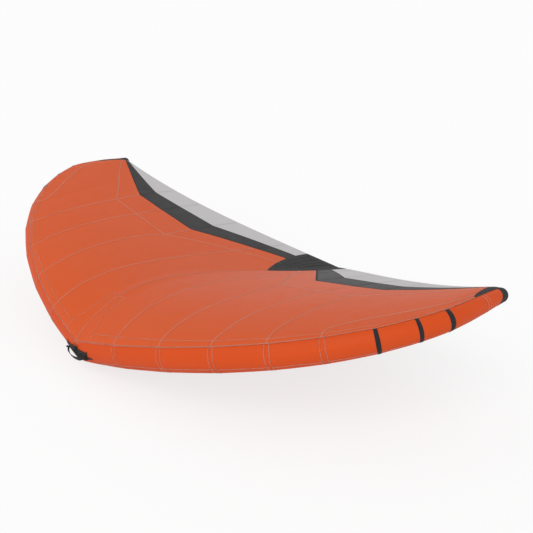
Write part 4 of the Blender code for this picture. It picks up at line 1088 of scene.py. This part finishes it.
shifts = (-STRUT_SEAM_SHIFT, STRUT_SEAM_SHIFT)
strut_lines = [strut_path(lambda a: join + shift) for join in STRUT_JOINS for shift in shifts]
seamed("strut_folds", [strut_path(lambda a: join) for join in STRUT_JOINS], casing_orange, STRUT_FOLD)
strut_stitches = [zigzag(path, SEAM_STITCH, lift=ON_FOLD) for path in strut_lines]
strut_stitches += [zigzag(saddle_row(shift), SEAM_STITCH) for shift in SADDLE_ROWS]
joined("strut_stitching", strut_stitches, thread_pale)
cap_line = strut_path(
    lambda a: STRUT_CAP - STRUT_CAP_SLANT * math.cos(a) + STRUT_CAP_LAP,
    lift=STRUT_CAP_STITCH,
)
stitched("tail_cap_stitching", [cap_line], thread_black, SEAM_STITCH)

# Bladders and air link
# Clear film bladders fill the leading edge and the strut, and a short hose joins them. They lie out of sight
# inside the cloth, a little smaller than it.

BLADDER_INSET, BLADDER_END, BLADDER_STEPS, BLADDER_SIDES = 0.0050, 0.982, 90, 32
STRUT_BLADDER, STRUT_BLADDER_STEPS = (0.140, 1.895), 70

film = Finish("bladder_film", {"Specular IOR Level": 0.5, "Transmission Weight": 0.6, "IOR": 1.45})
haze = film.cloud(film.in_space(), 30.0)
film.relief(haze, 0.002)
film_clear = film.end(film.tint(haze, (0.72, 0.76, 0.78), (0.85, 0.88, 0.90)), 0.18 + haze * 0.2)
bladder_turns = full_turn(BLADDER_SIDES)


def bladder(name, node, rows):
    """A film tube, drawn together to a point at both ends."""
    first, last = (np.tile(row.mean(axis=0), (1, len(row), 1)) for row in (rows[0], rows[-1]))
    piece = closed(name, np.concatenate([first, rows, last]), film_clear)
    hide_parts(node)


shares = even(0.0, BLADDER_END, BLADDER_STEPS)
half_rows = as_array([[on_tube(s, a, -BLADDER_INSET) for a in bladder_turns] for s in shares])
bladder("le_bladder_film", "le_bladder", both_halves(half_rows))
ys = even(*STRUT_BLADDER, STRUT_BLADDER_STEPS)
rows = [[on_strut(y, a, -BLADDER_INSET) for a in bladder_turns] for y in ys]
bladder("strut_bladder_film", "strut_bladder", as_array(rows))
finished_in(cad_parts["air_link_tube"], film_clear)

# Middle web
# A flat sheet of the canopy's cloth stands on the middle plane and ties the strut to the canopy. It ends in a
# hemmed edge well before the tail, so that light shows between the strut and the canopy there.

WEB_START, WEB_END, WEB_STEPS, WEB_COLUMNS = 0.028, 1.287, 110, 14
WEB_CLOTH, WEB_CLEAR, WEB_LEAST = 0.0012, 0.0006, 0.0004
RIPPLE, RIPPLE_ALONG, RIPPLE_UP, RIPPLE_PLACE = 0.0022, 7.0, 1.5, 4.0
WEB_INSET, WEB_END_INSET, WEB_END_SHORT, WEB_END_STEPS = 0.006, 0.008, 0.004, 11


def tube_top(y):
    """Height of the leading edge tube's skin on the middle plane, or nothing beyond it."""
    rest = NOSE_RADIUS**2 - y**2
    return math.sqrt(rest) if rest > 0 else -1.0


def on_web(face, y, z):
    return Vector((face * WEB_CLOTH / 2, y, z)), Vector((face, 0.0, 0.0))


web_ys = even(WEB_START, WEB_END, WEB_STEPS)
web_rows = []
for y in web_ys:
    top = canopy_under(y) - WEB_CLEAR
    strut_top = strut_low(y) + 2 * strut_size(y) if y > STRUT_START else -1.0
    base = min(max(tube_top(y), strut_top) + WEB_CLEAR, top - WEB_LEAST)
    row = []
    for part in even(0.0, 1.0, WEB_COLUMNS):
        wave = noise.noise(Vector((y * RIPPLE_ALONG, part * RIPPLE_UP, RIPPLE_PLACE)))
        row.append(Vector((RIPPLE * wave * math.sin(math.pi * part), y, base + (top - base) * part)))
    web_rows.append(row)
# Painted shade: the web is the canopy's own cloth, given a darker orange than the canopy for the shade it
# stands in between the canopy and the strut.
web_orange_painted_shade = ripstop("ripstop_web_painted_shade", (0.500, 0.056, 0.011), (0.455, 0.050, 0.009), 0.55)
web_cloth = (web_orange_painted_shade, "orange_web", WEB_CLOTH)
aside = (1.0, 0.0, 0.0)
sewn("web_cloth", web_rows, "web_centre", web_cloth, "strut_cloth_middle", facing=aside, offset=0.0)

web_spans = [(row[0].z, row[-1].z) for row in web_rows]
insets = [min(WEB_INSET, (top - base) / 4) for base, top in web_spans]
web_lines = []
for face in (1, -1):
    for k, way in ((0, 1), (1, -1)):
        line = [on_web(face, y, span[k] + way * inset) for y, span, inset in zip(web_ys, web_spans, insets)]
        web_lines.append(as_path(line))
    ends = (web_spans[-1][0] + WEB_END_SHORT, web_spans[-1][1] - WEB_END_SHORT)
    line = [on_web(face, WEB_END - WEB_END_INSET, z) for z in even(*ends, WEB_END_STEPS)]
    web_lines.append(as_path(line))
stitched("web_stitching", web_lines, thread_pale, SEAM_STITCH)

# Soft handles
# Under the strut, two strips of orange webbing are sewn on with three keepers each. A strap runs through the
# keepers and carries a padded black grip between them, and it swings about the line of the keepers.

# Where each strap and each grip start and end along the strut
HANDLES = (("front", 0.236, 0.610, 0.340, 0.548), ("rear", 0.842, 1.296, 0.958, 1.221))
STRAP_RADIUS, STRAP_STEPS, STRAP_SIDES, STRAP_PRESSED = 0.0034, 60, 14, 0.98
GRIP_RADIUS, GRIP_STEPS, GRIP_SIDES, GRIP_RANGE = 0.0075, 72, 28, (0.10, 0.90)
GRIP_ENDS = (0.0, 0.80, 0.93, 1.0)
GRIP_SAG, SAG_POWER = 0.0185, 1.4
HAND_STITCH, HAND_PITCH = 0.003, 0.004
GRIP_STITCH = (0.0026, 0.0036)
KEEPER_BORE, KEEPER_LENGTH, KEEPER_CLOTH = 0.0040, 0.022, 0.0012
KEEPER_INSET, KEEPER_PITCH, KEEPER_STEPS = 0.012, 0.045, 8
KEEPER_FEET = ((0.0150, 0.0007), (0.0085, 0.0))
KEEPER_TURNS, KEEPER_TURN_STEPS, KEEPER_PINCH = (205, -25), 12, 0.05
BASE_TURN, BASE_TOP, BASE_CLOTH = math.radians(15.0), 0.0026, 0.0016
BASE_EDGE, BASE_FACE, BASE_STEPS, BASE_COLUMNS = 0.75, 0.94, 90, 12
BASE_SEAM_TURN, BASE_SEAM_LIFT, BASE_SEAM_END = BASE_TURN * 0.86, BASE_TOP * 0.95, 0.004
HINGE_DROP = 0.0080

keeper_orange = webbing("keeper_webbing_orange", (0.560, 0.075, 0.016), (0.660, 0.100, 0.026), 0.0014, 1.6)
strap_black = webbing("strap_webbing_black", (0.010, 0.010, 0.011), (0.027, 0.028, 0.030), 0.0009, 1.8)
base_cloth = (keeper_orange, "orange_tube", BASE_CLOTH)
downwards = (0.0, 0.0, -1.0)


def neoprene(name, shade, pale):
    """Soft foam rubber with a fine knitted face, worn a little paler where hands hold it."""
    finish = Finish(name, {"Specular IOR Level": 0.30, "Sheen Weight": 0.06, "Sheen Roughness": 0.5})
    space = finish.in_space()
    knit = finish.cloud(space, 1400.0, 1.0)
    worn = finish.cloud(space, 22.0)
    finish.relief(knit * 0.5 + worn * 0.3, 0.0006)
    return finish.end(finish.tint(worn * 0.7 + knit * 0.2, shade, pale), 0.55 + worn * 0.2)


grip_black = neoprene("grip_neoprene_black", (0.014, 0.017, 0.019), (0.032, 0.038, 0.042))


def bar_rows(path, sides):
    """Round sections along (point, radius) pairs, square to the path."""
    points = [p for p, _ in path]
    rows = []
    for i, (point, size) in enumerate(path):
        ahead = (points[min(i + 1, len(points) - 1)] - points[max(i - 1, 0)]).normalized()
        aside = Vector((1.0, 0.0, 0.0))
        up = aside.cross(ahead).normalized()
        rows.append([point + (aside * math.cos(t) + up * math.sin(t)) * size for t in full_turn(sides)])
    return rows


def hinge(strap, y):
    """The line through a handle's keepers, which the strap swings about."""
    ends = [Vector((0.0, end, strut_low(end) - HINGE_DROP)) for end in strap]
    return ends[0].lerp(ends[1], (y - strap[0]) / (strap[1] - strap[0]))


def sagging(strap, grip, part):
    """A point of the hanging strap, and how full the grip is there."""
    swell = math.sin(math.pi * part)
    return hinge(strap, between(grip, part)) - Vector((0.0, 0.0, GRIP_SAG * swell**SAG_POWER)), swell


def keeper_row(strap, at, bulge):
    """A keeper's section: two sewn feet and the loop round the strap."""
    base_z = strut_low(at) - BASE_TOP - KEEPER_CLOTH
    feet = [Vector((x, at, base_z + up)) for x, up in KEEPER_FEET]
    size = (KEEPER_BORE + KEEPER_CLOTH) * bulge
    turns = [math.radians(degrees) for degrees in even(*KEEPER_TURNS, KEEPER_TURN_STEPS)]
    loop = [hinge(strap, at) + Vector((math.cos(t) * size, 0.0, -math.sin(t) * size)) for t in turns]
    return [Vector((-foot.x, foot.y, foot.z)) for foot in feet] + loop + feet[::-1]


for name, strap_low, strap_high, *grip_ends in HANDLES:
    body, strap = f"{name}_grip", (strap_low, strap_high)
    low_point, high_point = hinge(strap, strap_low), hinge(strap, strap_high)
    path = [(low_point, 0.0), (low_point, STRAP_RADIUS)]
    hanging = [sagging(strap, grip_ends, part)[0] for part in even(0.0, 1.0, STRAP_STEPS)]
    path += [(point, STRAP_RADIUS * STRAP_PRESSED) for point in hanging]
    path += [(high_point, STRAP_RADIUS), (high_point, 0.0)]
    closed(f"{name}_strap", bar_rows(path, STRAP_SIDES), strap_black, 50, body)

    pad_path = []
    for i, part in enumerate(even(*GRIP_RANGE, GRIP_STEPS)):
        point, swell = sagging(strap, grip_ends, part)
        size = STRAP_RADIUS + (GRIP_RADIUS - STRAP_RADIUS) * swell**0.5
        pad_path.append((point, size * GRIP_ENDS[min(i, GRIP_STEPS - i, 3)]))
    grip = closed(f"{name}_grip", bar_rows(pad_path, GRIP_SIDES), grip_black, 70, body)
    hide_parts(f"handle_{name}_grip")
    up = Vector(UPWARDS)
    seam = as_path([(point + up * size, up) for point, size in pad_path[3:-3]])
    stitched(f"{name}_grip_stitching", [seam], thread_grey, *GRIP_STITCH, body=body)

    lifts = [BASE_TOP * share for share in (BASE_EDGE, *[BASE_FACE] * (BASE_COLUMNS - 1), BASE_EDGE)]
    turns = even(-BASE_TURN, BASE_TURN, BASE_COLUMNS)
    rows = [[on_strut(y, t, up) for t, up in zip(turns, lifts)] for y in even(*strap, BASE_STEPS)]
    node, under = f"handle_{name}_base", "strut_cloth_middle"
    sewn(f"{name}_base", rows, node, base_cloth, under, held="laid", facing=downwards)
    ys = even(strap_low + BASE_SEAM_END, strap_high - BASE_SEAM_END, BASE_STEPS)
    lines = []
    for turn in (-BASE_SEAM_TURN, BASE_SEAM_TURN):
        lines.append(as_path([(on_strut(y, turn, BASE_SEAM_LIFT), out_of_strut(turn)) for y in ys]))
    stitched(f"{name}_base_stitching", lines, thread_pale, HAND_STITCH, HAND_PITCH)

    first = strap_low + KEEPER_INSET
    keepers = (strap_high - KEEPER_INSET - KEEPER_LENGTH, first, first + KEEPER_PITCH)
    for place, y in enumerate(keepers, start=1):
        bulges = [1 + KEEPER_PINCH * math.cos(t) for t in full_turn(KEEPER_STEPS)]
        steps = even(y, y + KEEPER_LENGTH, KEEPER_STEPS)
        rows = [keeper_row(strap, at, bulge) for at, bulge in zip(steps, bulges)]
        keeper = backed(laid(f"{name}_keeper_{place}", rows, downwards), KEEPER_CLOTH)
        dress(keeper, keeper_orange)

# Nose
# A padded black patch guards the nose where the wing lands on it, held down by webbing ears. A strap of flat
# webbing, to hold the wing by while it trails, ends in two sewn sleeves, and a short loop takes a line.

# Half width down the pad, in shares of the half length, and the top edge's degrees round the tube
PAD_DOWN, PAD_HALF_SHARES = (0.0, 0.76, 1.0), (0.0400, 0.0314, 0.0260)
PAD_ACROSS, PAD_TOP = (0.0, 0.85, 1.0), (-88.3, -96.9, -94.2)
PAD_LOW = -128.0
PAD_THICKNESS, PAD_LIFT, PAD_EDGE, PAD_ROUND = 0.0045, 0.0019, 0.35, 0.16
QUILT, QUILT_PLACE, QUILT_WIDTH = 0.0009, 0.20, 0.05
PAD_ROWS, PAD_STEPS = 40, 36
BORDER = ((-0.90, 0.09, 40), (0.90, 0.09, 20), (0.90, 0.91, 40), (-0.90, 0.91, 20), (-0.90, 0.09, 0))
BORDER_LIFT, BORDER_PROBE = 0.0002, 0.002
NOSE_HINGE = Vector((0.0, -0.1083, -0.0260))
SLEEVE_ENDS, SLEEVE_RADIUS, SLEEVE_PINCH, SLEEVE_CLOTH = (0.080, 0.097), 0.0058, 0.0004, 0.0016
SLEEVE_STEPS, SLEEVE_SIDES = 8, 20
PULL_ENDS, PULL_FORWARD, PULL_DROP = (0.077, 0.088, 0.095, 0.102), 0.020, 0.020
PULL_WIDTH, PULL_THICKNESS, PULL_ROLLED = 0.030, 0.0032, 0.0033
PULL_NECK, PULL_SPREAD, PULL_FLATTEN = 0.0034, 1.25, 1.6
PULL_TILT, PULL_STEPS, PULL_SIDES = math.radians(-29.0), 60, 24
PULL_SOFT_EDGE, PULL_SOFT_FACE = 0.55, 0.75
EAR_SHARES, EAR_WIDTH, EAR_ANGLE = (0.0310, 0.0464), 0.0125, -117.0
EAR_RUNS, EAR_LIFTS = (0.0310, 0.0365, 0.0405), (0.0062, 0.0056, 0.0028)
EAR_DROPS, EAR_CLOTH, EAR_STEPS = (0.0004, 0.0, 0.0, 0.0, 0.0, 0.0, 0.0004), 0.0018, 12
LOOP_LOW, LOOP_TALL, LOOP_OFF, LOOP_CLOTH = -0.007, 0.026, 0.011, 0.0022
LOOP_FOOT, LOOP_STEPS, LOOP_COLUMNS = (0.25, 0.2), 6, 12
# Half the loop, seen from above: metres to the side, and forwards of the pad's face
LOOP_LINE = ((0.0226, 0.0004), (0.016, LOOP_OFF * 0.62), (0.010, LOOP_OFF))
LOOP_CROWN = 0.0006


def pad_point(across, down, lift=0.0):
    """A point of the pad's face, across from -1 to 1 and down from 0 to 1."""
    share = abs(across) * float(np.interp(down, PAD_DOWN, PAD_HALF_SHARES))
    top = float(np.interp(abs(across), PAD_ACROSS, PAD_TOP))
    angle = math.radians(between((top, PAD_LOW), down))
    edge = min(1 - abs(across), down, 1 - down) * 2
    crown = PAD_THICKNESS * (PAD_EDGE + (1 - PAD_EDGE) * min(edge / PAD_ROUND, 1.0) ** 0.5)
    quilt = QUILT * math.exp(-((edge - QUILT_PLACE) / QUILT_WIDTH) ** 2)
    point = on_tube(share, angle, PAD_LIFT + crown - quilt + lift)
    return Vector((point.x * (1 if across > 0 else -1), point.y, point.z))


pad_columns, pad_downs = even(-1, 1, PAD_ROWS), even(0.0, 1.0, PAD_STEPS)
pad_rows = [[pad_point(across, down) for down in pad_downs] for across in pad_columns]
pad_black = webbing("pad_cordura_black", (0.011, 0.012, 0.013), (0.026, 0.028, 0.030), 0.0012)
nose_pad = backed(laid("nose_patch", pad_rows, (0.0, -1.0, -0.3)), PAD_THICKNESS * 0.5)
dress(nose_pad, pad_black)
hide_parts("nose_pad")

border = [BORDER[0][:2]]
for (x, down, steps), (next_x, next_down, _) in zip(BORDER, BORDER[1:]):
    border += list(zip(even(x, next_x, steps), even(down, next_down, steps)))[1:]
border_path = []
for place in border:
    out = pad_point(*place, BORDER_PROBE) - pad_point(*place)
    border_path.append((pad_point(*place, BORDER_LIFT), out.normalized()))
stitched("nose_patch_stitching", [as_path(border_path)], thread_grey, HAND_STITCH, HAND_PITCH)


def webbing_piece(name, rows, thickness, facing=None):
    """A sewn piece of strap webbing for each side of the nose."""
    for side, is_left in sides_of(name):
        dress(backed(laid(name.replace("SIDE", side), rows, facing, is_left), thickness), strap_black)


rows = []
for x, pinch in zip(even(*SLEEVE_ENDS, SLEEVE_STEPS), full_turn(SLEEVE_STEPS)):
    middle, size = NOSE_HINGE + Vector((x, 0.0, 0.0)), SLEEVE_RADIUS + SLEEVE_PINCH * math.cos(pinch)
    rows.append([middle + Vector((0.0, math.cos(t), math.sin(t))) * size for t in full_turn(SLEEVE_SIDES)])
webbing_piece("nose_sleeve_SIDE", rows, SLEEVE_CLOTH)

width_way = Vector((0.0, -math.sin(PULL_TILT), -math.cos(PULL_TILT)))
thick_way = Vector((0.0, -math.cos(PULL_TILT), math.sin(PULL_TILT)))


def softened(value, power):
    return math.copysign(abs(value) ** power, value)


def strap_section(x, bow, half_width, half_thickness):
    """A section of flat webbing with softly rounded edges."""
    middle = NOSE_HINGE + Vector((x, -PULL_FORWARD * bow, -PULL_DROP * bow))
    row = []
    for turn in full_turn(PULL_SIDES):
        wide, thick = softened(math.cos(turn), PULL_SOFT_EDGE), softened(math.sin(turn), PULL_SOFT_FACE)
        row.append(middle + width_way * (wide * half_width) + thick_way * (thick * half_thickness))
    return row


def rolled_end(way):
    """The strap's end is rolled where it runs through its sleeve, and closes to a point."""
    rows = [strap_section(way * x, 0.0, PULL_ROLLED, PULL_ROLLED) for x in PULL_ENDS]
    return rows + [strap_section(way * PULL_ENDS[-1], 0.0, 0.0, 0.0)]


pull_rows = rolled_end(-1)[::-1]
for part in even(-1, 1, PULL_STEPS)[1:-1]:
    bow = math.cos(part * math.pi / 2)
    half_width = between((PULL_NECK, PULL_WIDTH / 2), min(bow * PULL_SPREAD, 1.0))
    half_thick = between((PULL_ROLLED, PULL_THICKNESS / 2), min(bow * PULL_FLATTEN, 1.0))
    pull_rows.append(strap_section(PULL_ENDS[0] * math.sin(part * math.pi / 2), bow, half_width, half_thick))
pull_rows += rolled_end(1)
pull = closed("pull_strap", pull_rows, strap_black, 60, "nose_strap")
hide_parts("nose_handle")

rows = []
for share in even(*EAR_SHARES, EAR_STEPS):
    lift = float(np.interp(share, EAR_RUNS, EAR_LIFTS))
    half = math.degrees(EAR_WIDTH / 2 / tube_radius(share))
    turns = [math.radians(EAR_ANGLE + half * over) for over in even(-1, 1, len(EAR_DROPS) - 1)]
    rows.append([on_tube(share, turn, lift - drop) for turn, drop in zip(turns, EAR_DROPS)])
forwards = (0.0, -1.0, 0.0)
webbing_piece("nose_ear_SIDE", rows, EAR_CLOTH, forwards)

foot = pad_point(*LOOP_FOOT)
loop_line = [(-x, foot.y - off) for x, off in LOOP_LINE] + [(0.0, foot.y - LOOP_OFF - LOOP_CROWN)]
loop_line += [(x, foot.y - off) for x, off in LOOP_LINE[::-1]]
heights = even(LOOP_LOW, LOOP_LOW + LOOP_TALL, LOOP_COLUMNS)
rows = [[Vector((x, y, z)) for z in heights] for x, y in drawn_smooth(loop_line, LOOP_STEPS)]
loop_cloth = (strap_black, "black_webbing", LOOP_CLOTH)
sewn("line_loop", rows, "leash_loop", loop_cloth, "nose_patch", held="folded", facing=forwards)

# Inflation valve
# A moulded valve is welded to the leading edge bladder and stands out of the casing beside the strut. A flat
# cap with a plug closes its mouth.

plastic = Finish("valve_moulded", {"Specular IOR Level": 0.5})
grain, smudge = (plastic.cloud(plastic.in_space(), scale) for scale in (700.0, 60.0))
plastic.relief(grain, 0.0003)
moulded = plastic.end(plastic.tint(smudge, (0.085, 0.085, 0.090), (0.125, 0.125, 0.132)), 0.32 + grain * 0.25)
for node in ("valve_body", "valve_cap"):
    finished_in(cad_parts[node], moulded)

# Studio
# A plain pale floor under soft, even light, with the camera where the lower left view was taken from.

EYE = Vector((3.779, -3.0327, 2.22555))
AZIMUTH, ELEVATION, ROLL = math.radians(48.2), math.radians(20.9), math.radians(1.0)
FRAME_PIXELS, FOCAL_PIXELS = 533, 856
SENSOR, FAR = 36.0, 500.0
FLOOR_SIZE, FLOOR_DROP, FLOOR_GLOW = 400.0, 0.001, 0.76
WORLD_LEVEL, LAMP_LEVEL = 0.66, 1.22
LAMP_SPREAD, LAMP_PLACE, LAMP_AIM = math.radians(50.0), Vector((3.0, -6.0, 6.0)), Vector((0.0, 0.0, 0.3))
WHITE = (1.0, 1.0, 1.0, 1.0)


def in_studio(name, data):
    thing = bpy.data.objects.new(name, data)
    bpy.context.scene.collection.objects.link(thing)
    return thing


level = Vector((math.cos(AZIMUTH), math.sin(AZIMUTH), 0.0))
ahead = Vector((-math.sin(AZIMUTH), math.cos(AZIMUTH), 0.0)) * math.cos(ELEVATION)
back = Vector(UPWARDS) * math.sin(ELEVATION) - ahead
right = level * math.cos(ROLL) + back.cross(level) * math.sin(ROLL)
camera = in_studio("camera", bpy.data.cameras.new("camera"))
camera.data.sensor_width = SENSOR
camera.data.lens = FOCAL_PIXELS / FRAME_PIXELS * SENSOR
camera.data.clip_end = FAR
camera.matrix_world = Matrix.Translation(EYE) @ Matrix((right, back.cross(right), back)).transposed().to_4x4()
bpy.context.scene.camera = camera

bpy.ops.object.select_all(action="DESELECT")
bpy.ops.mesh.primitive_plane_add(size=FLOOR_SIZE, location=(0.0, 0.0, -FLOOR_DROP))
floor = bpy.context.object
floor.name = "floor"
pale = Finish("floor_pale", {"Specular IOR Level": 0.0})
cloud = pale.cloud(pale.in_space(), 0.4, 1.0)
floor.data.materials.append(pale.end(pale.tint(cloud, (0.985, 0.985, 0.985), (0.99, 0.99, 0.99)), 0.9))
glow = pale.node("Emission", {}, {"Color": WHITE, "Strength": 1.0})
seen = pale.node("LightPath", {}, {}, "Is Camera Ray")
lit = Wire(pale, pale.shader.outputs[0])
mixed = pale.node("MixShader", {}, {0: seen * FLOOR_GLOW, 1: lit, 2: glow})
pale.feed(pale.tree.nodes["Material Output"].inputs["Surface"], mixed)

world = bpy.data.worlds.new("studio")
bpy.context.scene.world = world
world.use_nodes = True
sky = Nodes(world.node_tree)
rays = [sky.node("LightPath", {}, {}, f"Is {kind} Ray") for kind in ("Camera", "Transmission", "Glossy")]
seen = sky.maths("MAXIMUM", sky.maths("MAXIMUM", *rays[:2]), rays[2])
background = sky.tree.nodes["Background"]
sky.feed(background.inputs["Color"], WHITE)
sky.feed(background.inputs["Strength"], WORLD_LEVEL + seen * (1 - WORLD_LEVEL))

lamp = in_studio("soft_sun", bpy.data.lights.new("soft_sun", "SUN"))
lamp.data.angle = LAMP_SPREAD
lamp.data.energy = LAMP_LEVEL
lamp.location = LAMP_PLACE
lamp.rotation_mode = "QUATERNION"
lamp.rotation_quaternion = (LAMP_PLACE - LAMP_AIM).to_track_quat("Z", "Y")

bpy.context.scene.view_settings.view_transform = "Standard"
